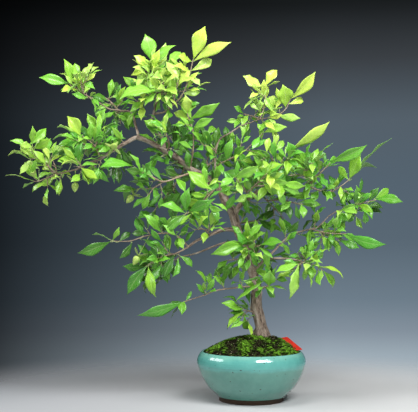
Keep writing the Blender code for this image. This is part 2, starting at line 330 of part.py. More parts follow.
        (3.3, 20.9, 3.5, 23.8, 2.4, -1.8, -3.6), (3, 20.9, 6.5, 20.1, 1.1, -1.6, -2.6),
        (2.6, 20.8, 4.4, 18.8, 1, -1.4, -0.4)], 0),
    "trunk_low_spray": ("trunk", [
        [(1.4, -0.1, 15.6), (0, -1, 16.2), (-1.4, -1.6, 16.4)]], [
        (-1.5, 16.6, -5.6, 17.8, 2, -1.6, -2.8), (-1.4, 16.2, -4.4, 13.2, 1.3, -1.6, -2.4)], 0),
    "trunk_back_spray": ("trunk", [
        [(-0.2, 0, 26.6), (-1.4, 2.4, 26.2), (-3, 4.4, 25.8), (-4.8, 6, 25.6)],
        [(-1.4, 2.4, 26.2), (1.2, 4, 26), (4, 5.6, 26.4)]], [
        (-4.4, 25.7, -6.4, 23.8, 1.4, 5.6, 4.8), (-2.6, 26, -1.6, 24, 1.2, 4, 2.8)], 4),
    "upper_back_spray": ("trunk", [
        [(-2.8, 0, 32.4), (-1.4, 2.6, 32.6), (0.8, 4.8, 33), (3, 6.6, 33.4)]], [
        (1.4, 33.2, 3.8, 31, 1.4, 5.2, 4)], 6),
    "middle_back_spray": ("middle_left_branch", [
        [(-7.6, -2.05, 30.3), (-8.4, -3.8, 31.2), (-9.6, -5.4, 31.6)]], [
        (-9.7, 31.7, -8, 34, 1.5, -5.4, -6.4)], 2),
}

# Hanging fruits: (stalk's top x, y, z), (calyx x, y, z), parent wood or spray
fruits = {
    "fruit_left": ((-32.4, -2.0, 42.1), (-32.6, -2.2, 40.0), "left_arm"),
    "fruit_upper": ((-25.9, -1.2, 45.8), (-25.5, -3.2, 46.6), "left_arm"),
    "fruit_middle": ((-21.6, -1.75, 38.6), (-21.9, -1.9, 37.6), "middle_left_spray"),
    "fruit_low": ((-20.4, -3.7, 29.6), (-20.9, -3.9, 26.4), "outer_left_spray"),
}

turns = random.Random(7)


def material(name, colour, roughness, metallic=0.0):
    made = bpy.data.materials.get(name) or bpy.data.materials.new(name)
    made.use_nodes = True
    shader = made.node_tree.nodes["Principled BSDF"]
    shader.inputs["Base Color"].default_value = (*colour, 1)
    shader.inputs["Roughness"].default_value = roughness
    shader.inputs["Metallic"].default_value = metallic
    return made


def newObject(name, vertices, faces):
    mesh = bpy.data.meshes.new(name)
    mesh.from_pydata([tuple(v) for v in vertices], [], faces)
    mesh.validate()
    made = bpy.data.objects.new(name, mesh)
    bpy.context.scene.collection.objects.link(made)
    return made


def faceOut(made):
    shape = bmesh.new()
    shape.from_mesh(made.data)
    bmesh.ops.recalc_face_normals(shape, faces=shape.faces)
    shape.to_mesh(made.data)
    shape.free()


def discard(made):
    bpy.data.objects.remove(made, do_unlink=True)


def combine(made, other, operation, solver="EXACT"):
    # applies one exact Boolean and drops the other shape
    step = made.modifiers.new(operation.lower(), "BOOLEAN")
    step.operation = operation
    step.solver = solver
    step.object = other
    bpy.context.view_layer.update()
    shaped = made.evaluated_get(bpy.context.evaluated_depsgraph_get())
    mesh = bpy.data.meshes.new_from_object(shaped)
    made.modifiers.clear()
    made.data = mesh
    discard(other)


def finish(made, look, smooth=True):
    made.data.materials.clear()
    made.data.materials.append(look)
    if smooth:
        made.data.shade_smooth()
        made.data.set_sharp_from_angle(angle=math.radians(40))


def turned(name, profile, sides=turnedSides):
    # profile: (radius, z), closed; a radius of zero is a point on the axis
    vertices = []
    rings = []
    for radius, z in profile:
        if radius == 0:
            rings.append([len(vertices)])
            vertices.append((0, 0, z))
            continue
        rings.append(list(range(len(vertices), len(vertices) + sides)))
        for k in range(sides):
            angle = 2 * math.pi * k / sides
            vertices.append((radius * math.cos(angle), radius * math.sin(angle), z))
    faces = []
    closed = rings + ([rings[0]] if len(rings[0]) > 1 or len(rings[-1]) > 1 else [])
    for low, high in zip(closed, closed[1:]):
        for k in range(sides):
            after = (k + 1) % sides
            if len(low) > 1 and len(high) > 1:
                faces.append((low[k], low[after], high[after], high[k]))
            elif len(high) > 1:
                faces.append((low[0], high[after], high[k]))
            elif len(low) > 1:
                faces.append((low[k], low[after], high[0]))
    made = newObject(name, vertices, faces)
    faceOut(made)
    return made


def smoothRoute(points, steps):
    # a curve through every point; each point is a vector of any length
    count = len(points)
    out = []
    for i in range(count - 1):
        before = points[max(i - 1, 0)]
        start = points[i]
        end = points[i + 1]
        after = points[min(i + 2, count - 1)]
        for s in range(steps):
            t = s / steps
            out.append([
                0.5 * (2 * b + (c - a) * t + (2 * a - 5 * b + 4 * c - d) * t * t
                       + (3 * b - a - 3 * c + d) * t ** 3)
                for a, b, c, d in zip(before, start, end, after)])
    out.append(list(points[-1]))
    return out


def tubeShape(route, sides, swell=0.0):
    # route: (position, radius); the frame is carried along without twisting
    vertices = []
    faces = []
    side = None
    last = len(route) - 1
    for i, (centre, radius) in enumerate(route):
        ahead = (route[min(i + 1, last)][0] - route[max(i - 1, 0)][0]).normalized()
        if side is None:
            side = ahead.orthogonal().normalized()
        side = (side - ahead * side.dot(ahead)).normalized()
        other = ahead.cross(side)
        for k in range(sides):
            angle = 2 * math.pi * k / sides
            vertices.append(centre + (side * math.cos(angle) + other * math.sin(angle)) * (radius + swell))
    for i in range(last):
        for k in range(sides):
            after = (k + 1) % sides
            low = i * sides
            faces.append((low + k, low + after, low + sides + after))
            faces.append((low + k, low + sides + after, low + sides + k))
    for k in range(1, sides - 1):
        top = last * sides
        faces.append((0, k + 1, k))
        faces.append((top, top + k, top + k + 1))
    return vertices, faces


def joinShapes(shapes):
    vertices = []
    faces = []
    for points, polygons in shapes:
        base = len(vertices)
        vertices += points
        faces += [tuple(base + k for k in polygon) for polygon in polygons]
    return vertices, faces


def tree(shape):
    vertices, faces = shape
    return BVHTree.FromPolygons([tuple(v) for v in vertices], faces)


def box(vertices):
    low = [min(v[k] for v in vertices) for k in range(3)]
    high = [max(v[k] for v in vertices) for k in range(3)]
    return low, high


def nearestOn(route, point):
    # the nearest place on a round route's axis, its radius there, and how far off the point is
    best = None
    for (start, thick), (end, thin) in zip(route, route[1:]):
        foot, share = intersect_point_line(point, start, end)
        share = min(max(share, 0.0), 1.0)
        foot = start.lerp(end, share)
        far = (point - foot).length
        if best is None or far < best[2]:
            best = (foot, thick + (thin - thick) * share, far)
    return best


def woodRoute(name):
    points = wood[name][1]
    return [(spot(x, y, z), r * cm * treeScale) for x, y, z, r in points]


def twigRoute(points, parentRoute):
    # thicker the longer it is, and thinner than the wood it leaves
    smooth = smoothRoute(points, 2 if len(points) < 5 else 1)
    last = len(smooth) - 1
    places = [spot(*point) for point in smooth]
    thick = (0.0011 + 0.00012 * len(points)) * treeScale
    thin = 0.0008 * treeScale
    foot, radius, far = nearestOn(parentRoute, places[0])
    if far < radius:
        places[0] = foot
        thick = min(thick, radius * 0.7)
    return [(place, thick + (thin - thick) * i / last) for i, place in enumerate(places)]


def leafShape(root, base, tip, width, roll, swell=0.0, bladeOnly=False):
    # a thin rhombus with a keel for its midrib, pointed at both ends, on a stalk from its twig
    length = (tip - base).length
    axis = (tip - base).normalized()
    facing = Vector((0, -0.78, 0.62))
    side = axis.cross(facing)
    if side.length < 0.15:
        side = axis.cross(Vector((0.5, -0.5, -0.7)))
    side.normalize()
    side = Matrix.Rotation(roll, 3, axis) @ side
    normal = side.cross(axis)
    rows = [(0.40, 0.98), (0.72, 0.62)]
    if length < 0.040:
        rows = [(0.48, 1.0)]
    stations = []
    if bladeOnly:
        start = base + axis * length * 0.14
    else:
        start = root
        if (base - root).length > 0.007:
            bend = ((base - root).normalized() + axis).normalized()
            across = (side - bend * side.dot(bend)).normalized()
            stations.append((base, 0.0007, across, across.cross(bend)))
    for along, share in rows:
        centre = base + axis * length * along + normal * length * 0.03
        stations.append((centre, width / 2 * share, side, normal))
    vertices = [start]
    for centre, reach, across, up in stations:
        vertices += [centre + across * (reach + swell) + up * swell,
                     centre - across * (reach + swell) + up * swell,
                     centre - up * (leafThickness + swell)]
    vertices.append(tip + axis * swell)
    faces = []
    top = len(vertices) - 1
    for k in range(3):
        after = (k + 1) % 3
        faces.append((0, 1 + k, 1 + after))
        for row in range(len(stations) - 1):
            low = 1 + row * 3
            faces.append((low + k, low + 3 + after, low + after))
            faces.append((low + k, low + 3 + k, low + 3 + after))
        faces.append((top, top - 3 + after, top - 3 + k))
    return vertices, faces


obstacles = []  # (owner, leaf or wood, low corner, high corner, full shape's tree, blade's tree)


def addObstacle(owner, shape, blade=None):
    low, high = box(shape[0])
    obstacles.append((owner, low, high, tree(shape), tree(blade) if blade else None))


def isClear(owner, shape, blade):
    low, high = box(shape[0])
    full = tree(shape)
    inner = tree(blade)
    for other, otherLow, otherHigh, otherFull, otherBlade in obstacles:
        if any(low[k] > otherHigh[k] or high[k] < otherLow[k] for k in range(3)):
            continue
        if other == owner:
            if otherBlade and inner.overlap(otherBlade):
                return False
        elif full.overlap(otherFull):
            return False
    return True


def nearestRoot(routes, base, parentRoute):
    # the closest twig point that stands clear of the parent wood
    best = None
    for route in routes:
        inside = [centre for centre, _ in route[1:-1]]
        inside.append(route[-1][0].lerp(route[-2][0], 0.12))
        for centre in inside:
            _, radius, apart = nearestOn(parentRoute, centre)
            if apart < radius + 0.003:
                continue
            far = (centre - base).length
            if best is None or far < best[0]:
                best = (far, centre)
    return best[1]


def drawnLeaves(leaves):
    # hand-drawn leaves: a narrow one is a full leaf seen edge-on
    for xBase, zBase, xTip, zTip, seen, yBase, yTip in leaves:
        base = spot(xBase, yBase, zBase)
        tip = spot(xTip, yTip, zTip)
        length = (tip - base).length
        seenWidth = seen * cm * leafScale
        width = max(seenWidth, min(0.36 * length, 0.022))
        roll = math.acos(min(1.0, seenWidth / width)) * (1 if turns.random() < 0.5 else -1)
        tip = base + (tip - base) * leafScale
        yield base, tip, width, roll


def ruledLeaves(routes, count):
    # more leaves along each twig, a golden turn apart, opening outward and drooping at the tip
    for route in routes:
        for k in range(count):
            place = 0.35 + 0.65 * (k + 0.5) / count
            at = place * (len(route) - 1)
            i = min(int(at), len(route) - 2)
            centre = route[i][0].lerp(route[i + 1][0], at - i)
            ahead = (route[i + 1][0] - route[i][0]).normalized()
            around = Matrix.Rotation(math.radians(137.5) * k + turns.uniform(0, 2), 3, ahead)
            out = around @ ahead.orthogonal().normalized()
            direction = (ahead * 0.7 + out + Vector((0, 0, 0.12))).normalized()
            length = turns.uniform(0.030, 0.046) * leafScale
            base = centre + out * 0.003
            yield base, base + direction * length, 0.42 * length, turns.uniform(-0.7, 0.7)


def settle(owner, routes, parentRoute, base, tip, width, roll):
    # turns a leaf about its stalk, a little more each time, until it clears every neighbour
    root = nearestRoot(routes, base, parentRoute)
    reach = tip - base
    for attempt in range(30):
        swing = 0.06 * attempt
        spin = Matrix.Rotation(swing * math.cos(2.4 * attempt), 3, "X")
        tilt = Matrix.Rotation(0.5 * swing * math.sin(2.4 * attempt), 3, "Z")
        aim = base + tilt @ spin @ reach
        turn = roll + 0.35 * swing * (-1) ** attempt
        shape = leafShape(root, base, aim, width, turn)
        fat = leafShape(root, base, aim, width, turn, swell=0.0005)
        blade = leafShape(root, base, aim, width, turn, swell=0.0004, bladeOnly=True)
        if isClear(owner, fat, blade):
            addObstacle(owner, shape, blade)
            return shape
    return None


def makePot():
    # glazed body, rolled rim, foot ring and drain hole, turned from one outline
    rim = potRadius * 0.94
    lip = rim - potWall
    base = footHeight + floorThickness
    ringOut = heelRadius - footInset
    ringIn = ringOut - footWidth
    under = footHeight * 0.8
    body = [
        (heelRadius, footHeight), (potRadius * 0.80, potHeight * 0.285),
        (potRadius * 0.905, potHeight * 0.47), (potRadius * 0.965, potHeight * 0.62),
        (potRadius, potHeight * 0.77),
        (potRadius * 0.99, potHeight * 0.86), (rim, potHeight * 0.96)]
    inner = [(r - potWall, max(z, base)) for r, z in body[1:5]]
    profile = [(ringOut, 0.0), (ringOut, footHeight * 0.85)] + body
    profile += [(rim - potWall * 0.4, potHeight), (lip, potHeight - rimDrop), (lip, potHeight * 0.86)]
    profile += inner[::-1]
    profile += [(heelRadius - potWall / 2, base), (drainHoleRadius, base), (drainHoleRadius, under),
                (ringIn + 0.001, under), (ringIn, 0.0)]
    made = turned("pot", profile)
    finish(made, material("turquoise_glaze", (0.11, 0.40, 0.36), 0.18))
    return inner, lip, base


def mound(name, top, bottom, rimRadius, edgeTop, edgeBottom, sides=turnedSides):
    # a turned fill whose broad crown stands off the pot's axis, round the trunk
    vertices = [Vector((trunkFoot.x, trunkFoot.y, edgeTop + top))]
    steps = 4
    for step in range(1, steps + 1):
        t = step / steps
        height = edgeTop + top * math.cos(t * math.pi / 2) ** 0.75
        for k in range(sides):
            angle = 2 * math.pi * k / sides
            edge = Vector((rimRadius * math.cos(angle), rimRadius * math.sin(angle), 0))
            point = trunkFoot.lerp(edge, t)
            vertices.append(Vector((point.x, point.y, height)))
    faces = []
    for k in range(sides):
        after = (k + 1) % sides
        faces.append((0, 1 + k, 1 + after))
        for step in range(1, steps):
            low = 1 + (step - 1) * sides
            faces.append((low + k, low + sides + k, low + sides + after, low + after))
    rings = [[1 + (steps - 1) * sides + k for k in range(sides)]]
    for radius, z in bottom:
        if radius == 0:
            vertices.append(Vector((0, 0, z)))
            rings.append([len(vertices) - 1])
            continue
        rings.append([len(vertices) + k for k in range(sides)])
        vertices += [Vector((radius * math.cos(2 * math.pi * k / sides),
                             radius * math.sin(2 * math.pi * k / sides), z)) for k in range(sides)]
    for high, low in zip(rings, rings[1:]):
        for k in range(sides):
            after = (k + 1) % sides
            if len(low) == 1:
                faces.append((high[k], low[0], high[after]))
            else:
                faces.append((high[k], low[k], low[after], high[after]))
    made = newObject(name, vertices, faces)
    faceOut(made)
    return made


def makeFill(inner, lip, base):
    # soil to the pot's wall, with moss over its crown
    wall = [(r - gap, z) for r, z in inner[::-1]]
    edge = potHeight - fillDrop
    recess = screenThickness + 4 * wireRadius + 3 * gap
    bottom = [(lip - gap, potHeight * 0.86 - 0.001)]
    bottom += wall
    bottom += [(heelRadius - potWall / 2 - gap, base + gap), (screenRadius + 0.002, base + gap),
               (screenRadius + 0.001, base + gap + recess), (0, base + gap + recess)]
    soil = mound("soil", moundRise - mossThickness, bottom, lip - gap, edge, 0)
    crown = mossThickness + edge
    under = mound("moss_cutter", moundRise - mossThickness, [(lip + 0.02, -0.01), (0, -0.01)],
                  lip - gap, edge + gap, 0)
    moss = mound("moss", moundRise, [(lip - gap, edge - 0.001), (0, edge - 0.001)], lip - gap, crown, 0)
    combine(moss, under, "DIFFERENCE")
    return soil, moss


def makeDrain(base):
    # a screen over the drain hole, held down by a bent wire
    screen = turned("drain_screen", [(0, base + gap), (screenRadius, base + gap),
                                     (screenRadius, base + gap + screenThickness),
                                     (0, base + gap + screenThickness)], 24)
    pitch = screenHole * 2
    for i, j in ((-1, 0), (1, 0), (0, -1), (0, 1)):
        bpy.ops.mesh.primitive_cube_add(size=1, location=(i * pitch, j * pitch, base))
        hole = bpy.context.object
        hole.scale = (screenHole, screenHole, 0.01)
        bpy.context.view_layer.update()
        combine(screen, hole, "DIFFERENCE")
    finish(screen, material("black_plastic", (0.03, 0.03, 0.03), 0.5), smooth=False)
    top = base + gap + screenThickness + gap + wireRadius
    low = footHeight * 0.8 - gap - wireRadius - 0.0004
    points = [(-0.020, low), (-pitch, low), (-pitch, top), (pitch, top), (pitch, low), (0.020, low)]
    route = [(Vector((x, 0, z)), wireRadius) for x, z in points]
    wire = newObject("screen_wire", *tubeShape(route, 6))
    faceOut(wire)
    finish(wire, material("aluminium_wire", (0.7, 0.7, 0.7), 0.35, 1.0))


def tagShape(swell):
    # a rectangle with its corners cut, lying along tagRun
    along = tagRun.normalized()
    across = Vector((-tagRun.y, tagRun.x, 0)).normalized()
    face = along.cross(across)
    half = tagWidth / 2 + swell
    reach = tagLength / 2 + swell
    outline = []
    for x, z in ((-1, -1), (1, -1), (1, 1), (-1, 1)):
        pair = [(x * (half - tagCorner), z * reach), (x * half, z * (reach - tagCorner))]
        outline += pair[::-1] if x == z else pair
    thick = tagThickness / 2 + swell
    vertices = [tagPlace + across * x + along * z + face * y for y in (-thick, thick) for x, z in outline]
    sides = len(outline)
    faces = [tuple(range(sides)), tuple(range(2 * sides - 1, sides - 1, -1))]
    faces += [(k, k + sides, (k + 1) % sides + sides, (k + 1) % sides) for k in range(sides)]
    return vertices, faces


def makeTag():
    # a blank plastic plant tag lying on the moss, one corner pushed in
    tag = newObject("plant_tag", *tagShape(0.0))
    faceOut(tag)
    cutter = newObject("tag_cutter", *tagShape(gap))
    faceOut(cutter)
    finish(tag, material("red_plastic", (0.60, 0.04, 0.02), 0.4), smooth=False)
    return cutter


def copyOf(made):
    twin = bpy.data.objects.new(made.name + "_copy", made.data.copy())
    bpy.context.scene.collection.objects.link(twin)
    return twin


def makeWood(look):
    routes = {name: woodRoute(name) for name in wood}
    for name, (parent, _) in wood.items():
        sides = trunkSides if name == "trunk" else branchSides
        shape = tubeShape(routes[name], sides)
        made = newObject(name, *shape)
        faceOut(made)
        if parent:
            parentSides = trunkSides if parent == "trunk" else branchSides
            cutter = newObject("cutter", *tubeShape(routes[parent], parentSides, gap))
            faceOut(cutter)
            combine(made, cutter, "DIFFERENCE")
        finish(made, look)
        addObstacle(name, shape)
    return routes


def makeFruit(name, route):
    # a pointed persimmon beyond four narrow spread calyx lobes, on a thin stalk from its twig
    top, calyx, _ = fruits[name]
    foot, thick, _ = nearestOn(route, spot(*top))
    crown = spot(*calyx)
    lift = (crown - foot).normalized()
    height = fruitHeight
    profile = [(0, -height), (0.42, -height * 0.86), (0.8, -height * 0.62), (1.0, -height * 0.36),
               (0.82, -height * 0.12), (0, 0.0)]
    made = turned(name, [(r * fruitRadius, z) for r, z in profile], 12)
    turn = lift.to_track_quat("-Z", "Y").to_matrix().to_4x4()
    made.data.transform(Matrix.Translation(crown) @ turn)
    heart = crown + lift * 0.002
    stalk = [(foot + lift * (thick + gap), 0.0007), (crown.lerp(foot, 0.4), 0.0007), (heart, 0.0009)]
    pieces = [tubeShape(stalk, 5)]
    for k in range(4):
        angle = math.radians(90 * k + 35)
        out = (turn @ Vector((math.cos(angle), math.sin(angle), 0.35))).normalized()
        pieces.append(leafShape(heart, crown + out * 0.002, crown + out * 0.019, 0.0055, 0.0))
    for piece in pieces:
        combine(made, newObject("stalk", *piece), "UNION", "MANIFOLD")
    corners = [v.co.copy() for v in made.data.vertices]
    addObstacle(name, (corners, [tuple(f.vertices) for f in made.data.polygons]))
    return made


def growTwigs(routes):
    grown = {}
    for name, (parent, twigs, _, _) in sprays.items():
        grown[name] = [twigRoute(twig, routes[parent]) for twig in twigs]
        for route in grown[name]:
            addObstacle(name, tubeShape(route, twigSides, 0.0004))
    return grown


def makeSprays(routes, grown, look):
    kept = 0
    lost = 0
    leaves = {name: [] for name in sprays}
    for stage in ("drawn", "ruled"):
        for name, (parent, twigs, drawn, count) in sprays.items():
            wanted = drawnLeaves(drawn) if stage == "drawn" else ruledLeaves(grown[name], count)
            for base, tip, width, roll in wanted:
                shape = settle(name, grown[name], routes[parent], base, tip, width, roll)
                if shape:
                    leaves[name].append(shape)
                    kept += 1
                else:
                    lost += 1
    for name, (parent, _, _, _) in sprays.items():
        made = newObject(name, *tubeShape(grown[name][0], twigSides))
        for route in grown[name][1:]:
            combine(made, newObject("twig", *tubeShape(route, twigSides)), "UNION", "MANIFOLD")
        sides = trunkSides if parent == "trunk" else branchSides
        cutter = newObject("cutter", *tubeShape(routes[parent], sides, gap))
        combine(made, cutter, "DIFFERENCE")
        for shape in leaves[name]:
            combine(made, newObject("blade", *shape), "UNION", "MANIFOLD")
        finish(made, look, smooth=False)
    print("leaves kept", kept, "lost", lost)


def standOnOrigin():
    # the middle of the whole plant's box comes over the origin, its foot on the table
    corners = [v.co for made in bpy.data.objects for v in made.data.vertices]
    low, high = box(corners)
    for made in bpy.data.objects:
        made.location = (-(low[0] + high[0]) / 2, -(low[1] + high[1]) / 2, -low[2])


def build():
    for old in list(bpy.data.objects):
        bpy.data.objects.remove(old, do_unlink=True)
    bark = material("bark", (0.30, 0.23, 0.18), 0.85)
    leafGreen = material("leaf", (0.17, 0.34, 0.05), 0.45)
    inner, lip, base = makePot()
    makeDrain(base)
    routes = makeWood(bark)
    soil, moss = makeFill(inner, lip, base)
    tagCutter = makeTag()
    trunkCutter = newObject("trunk_cutter", *tubeShape(routes["trunk"], trunkSides, gap))
    faceOut(trunkCutter)
    for fill in (soil, moss):
        combine(fill, copyOf(trunkCutter), "DIFFERENCE")
        combine(fill, copyOf(tagCutter), "DIFFERENCE")
    discard(trunkCutter)
    discard(tagCutter)
    finish(soil, material("soil", (0.07, 0.045, 0.03), 0.95))
    finish(moss, material("moss", (0.06, 0.10, 0.03), 0.95))
    fruitGreen = material("green_fruit", (0.42, 0.50, 0.10), 0.4)
    grown = growTwigs(routes)
    for name, (_, _, parent) in fruits.items():
        route = routes.get(parent) or grown[parent][-1]
        finish(makeFruit(name, route), fruitGreen)
    makeSprays(routes, grown, leafGreen)
    standOnOrigin()


build()
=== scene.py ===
import math
import random

import bmesh
import bpy
from mathutils import Matrix, Vector, noise
from mathutils.bvhtree import BVHTree
from mathutils.geometry import intersect_point_line
from mathutils.kdtree import KDTree


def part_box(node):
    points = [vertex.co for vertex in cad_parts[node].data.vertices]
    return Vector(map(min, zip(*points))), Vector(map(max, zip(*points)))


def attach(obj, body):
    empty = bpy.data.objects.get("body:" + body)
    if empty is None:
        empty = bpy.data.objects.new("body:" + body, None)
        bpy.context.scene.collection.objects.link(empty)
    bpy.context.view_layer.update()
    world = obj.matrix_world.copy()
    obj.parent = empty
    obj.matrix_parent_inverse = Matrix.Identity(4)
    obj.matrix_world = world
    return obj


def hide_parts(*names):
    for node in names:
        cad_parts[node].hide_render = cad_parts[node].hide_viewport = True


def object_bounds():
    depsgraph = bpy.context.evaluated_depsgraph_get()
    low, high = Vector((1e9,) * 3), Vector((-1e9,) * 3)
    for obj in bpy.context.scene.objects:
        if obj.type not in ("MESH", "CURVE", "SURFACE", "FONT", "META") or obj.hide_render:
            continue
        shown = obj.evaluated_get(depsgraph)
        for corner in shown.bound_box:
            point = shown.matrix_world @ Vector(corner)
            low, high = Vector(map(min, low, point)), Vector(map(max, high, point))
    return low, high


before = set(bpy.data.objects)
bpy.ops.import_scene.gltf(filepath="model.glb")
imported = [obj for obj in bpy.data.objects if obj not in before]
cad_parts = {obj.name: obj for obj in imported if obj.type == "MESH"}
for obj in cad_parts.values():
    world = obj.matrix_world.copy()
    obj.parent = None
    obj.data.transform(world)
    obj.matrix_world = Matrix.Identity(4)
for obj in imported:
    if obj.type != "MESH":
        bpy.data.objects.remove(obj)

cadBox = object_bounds()
potLow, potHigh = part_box("pot")
potAxis = Vector(((potLow.x + potHigh.x) / 2, (potLow.y + potHigh.y) / 2, potLow.z))
cm = 0.01

# how the tree was drawn: a front elevation in centimetres, spread in depth along the sight lines
drawing = {
    "eye": Vector((-0.078, -1.8, 0.30)),  # viewer, from the pot's foot
    "depthSpread": 1.4,
    "leafThickness": 0.0012,
    "twigSides": 4,
    "branchSides": 7,
    "trunkSides": 10,
    "seed": 7,
    "thinner": 0.7,  # a twig's radius beside that of the wood it leaves
    "twigEnd": 0.0008,
    "leafFaces": Vector((0, -0.78, 0.62)),  # the way a blade turns, towards the light
    "orElseFaces": Vector((0.5, -0.5, -0.7)),
    "short": 0.040,  # a leaf under this length is drawn with fewer rows
    "shortLeaf": [(0.48, 1.0)],
    "longLeaf": [(0.40, 0.98), (0.72, 0.62)],
    "tries": 30,  # turns given to a leaf that touches a neighbour
}

# Main wood: (x, y, z, radius) in centimetres, and the wood it grows from
wood = {
    "trunk": (None, [
        (1.6, 0, 7.6, 1.5), (1.8, 0, 10, 1.6), (1.9, 0, 12, 1.34), (1.7, -0.1, 14, 1.1),
        (1.2, -0.2, 16, 1.03), (0.9, -0.2, 18, 1.0), (1.0, 0, 20, 0.98), (0.8, 0.1, 22, 0.86),
        (0.0, 0, 24, 0.68), (-0.2, -0.1, 26.3, 0.6), (-1.3, 0, 28.5, 0.7), (-2.4, 0, 31, 0.8),
        (-3.0, 0, 33, 0.82), (-3.5, 0, 34.6, 0.85), (-4.6, 0.2, 36.3, 0.76)]),
    "left_leader": ("trunk", [
        (-4.6, 0.2, 36.3, 0.74), (-6, 0.6, 39, 0.7), (-9, 1.2, 41.3, 0.66), (-11.5, 1.2, 42.7, 0.62),
        (-14, 0.8, 44.8, 0.58), (-16, 0.3, 46, 0.55), (-19, -0.3, 47.7, 0.48), (-21.3, -0.6, 48.5, 0.44)]),
    "left_arm": ("left_leader", [
        (-21.3, -0.6, 48.5, 0.42), (-24, -1, 47, 0.33), (-26, -1.2, 45.7, 0.29), (-28, -1.2, 44.4, 0.26),
        (-30, -1.5, 43.6, 0.23), (-32.7, -1.8, 42.3, 0.19)]),
    "upper_spur": ("left_leader", [
        (-20.8, -0.5, 48.3, 0.28), (-21.3, 0.3, 50.2, 0.24), (-22.2, 1, 53, 0.2), (-24, 1.5, 53.4, 0.18),
        (-26.5, 1.5, 53.8, 0.16), (-29, 1.2, 55.5, 0.14)]),
    "top_leader": ("left_leader", [
        (-16, 0.3, 46, 0.4), (-16.5, 0.8, 48.3, 0.36), (-18.3, 1.4, 49.8, 0.32), (-19, 1.5, 50.5, 0.3),
        (-18.2, 1.2, 52.4, 0.27), (-17.6, 0.8, 55, 0.22), (-17.4, 0.5, 57, 0.18)]),
    "right_leader": ("trunk", [
        (-3.2, 0, 34.2, 0.5), (-1.7, 0.5, 36.3, 0.45), (0, 1, 37.4, 0.42), (2, 1.2, 38.6, 0.38),
        (5, 1, 39, 0.32), (8, 0.5, 39, 0.26), (11, 0, 39.6, 0.21)]),
    "low_right_branch": ("trunk", [
        (0.2, 0, 23.4, 0.32), (1.3, -0.4, 24.6, 0.3), (2.8, -0.8, 25.8, 0.26), (6, -1.2, 26, 0.2),
        (9, -1.4, 25.6, 0.15)]),
    "right_branch": ("low_right_branch", [
        (2.6, -0.7, 25.7, 0.22), (4.6, 0, 27.8, 0.21), (6.2, 0.4, 29.5, 0.2), (8, 0.6, 30.6, 0.18),
        (10, 0.6, 31.2, 0.16), (12, 0.3, 31.6, 0.15), (13, 0, 32.4, 0.14), (14.5, -0.2, 34, 0.13)]),
    "middle_left_branch": ("trunk", [
        (-2.5, 0, 31.2, 0.4), (-5, -1.2, 31.3, 0.34), (-8, -2.2, 30.2, 0.3), (-10, -2.8, 29.3, 0.26),
        (-12, -3.2, 27.9, 0.22)]),
    "low_left_branch": ("trunk", [
        (-1.5, 0.2, 28.8, 0.26), (-4.3, 1.5, 29, 0.22), (-7, 2.5, 28.2, 0.2), (-10, 3, 27, 0.18),
        (-13.2, 3, 26.2, 0.15), (-15, 2.6, 25.2, 0.13)]),
    "upright_branch": ("left_leader", [
        (-6.3, 0.6, 39.2, 0.28), (-6.6, 0.4, 41.5, 0.25), (-6.6, 0.2, 45.5, 0.2), (-5.8, 0, 48, 0.17),
        (-4, -0.3, 49.2, 0.15), (-1.8, -0.5, 50.6, 0.14), (0, -0.6, 51.2, 0.13)]),
}

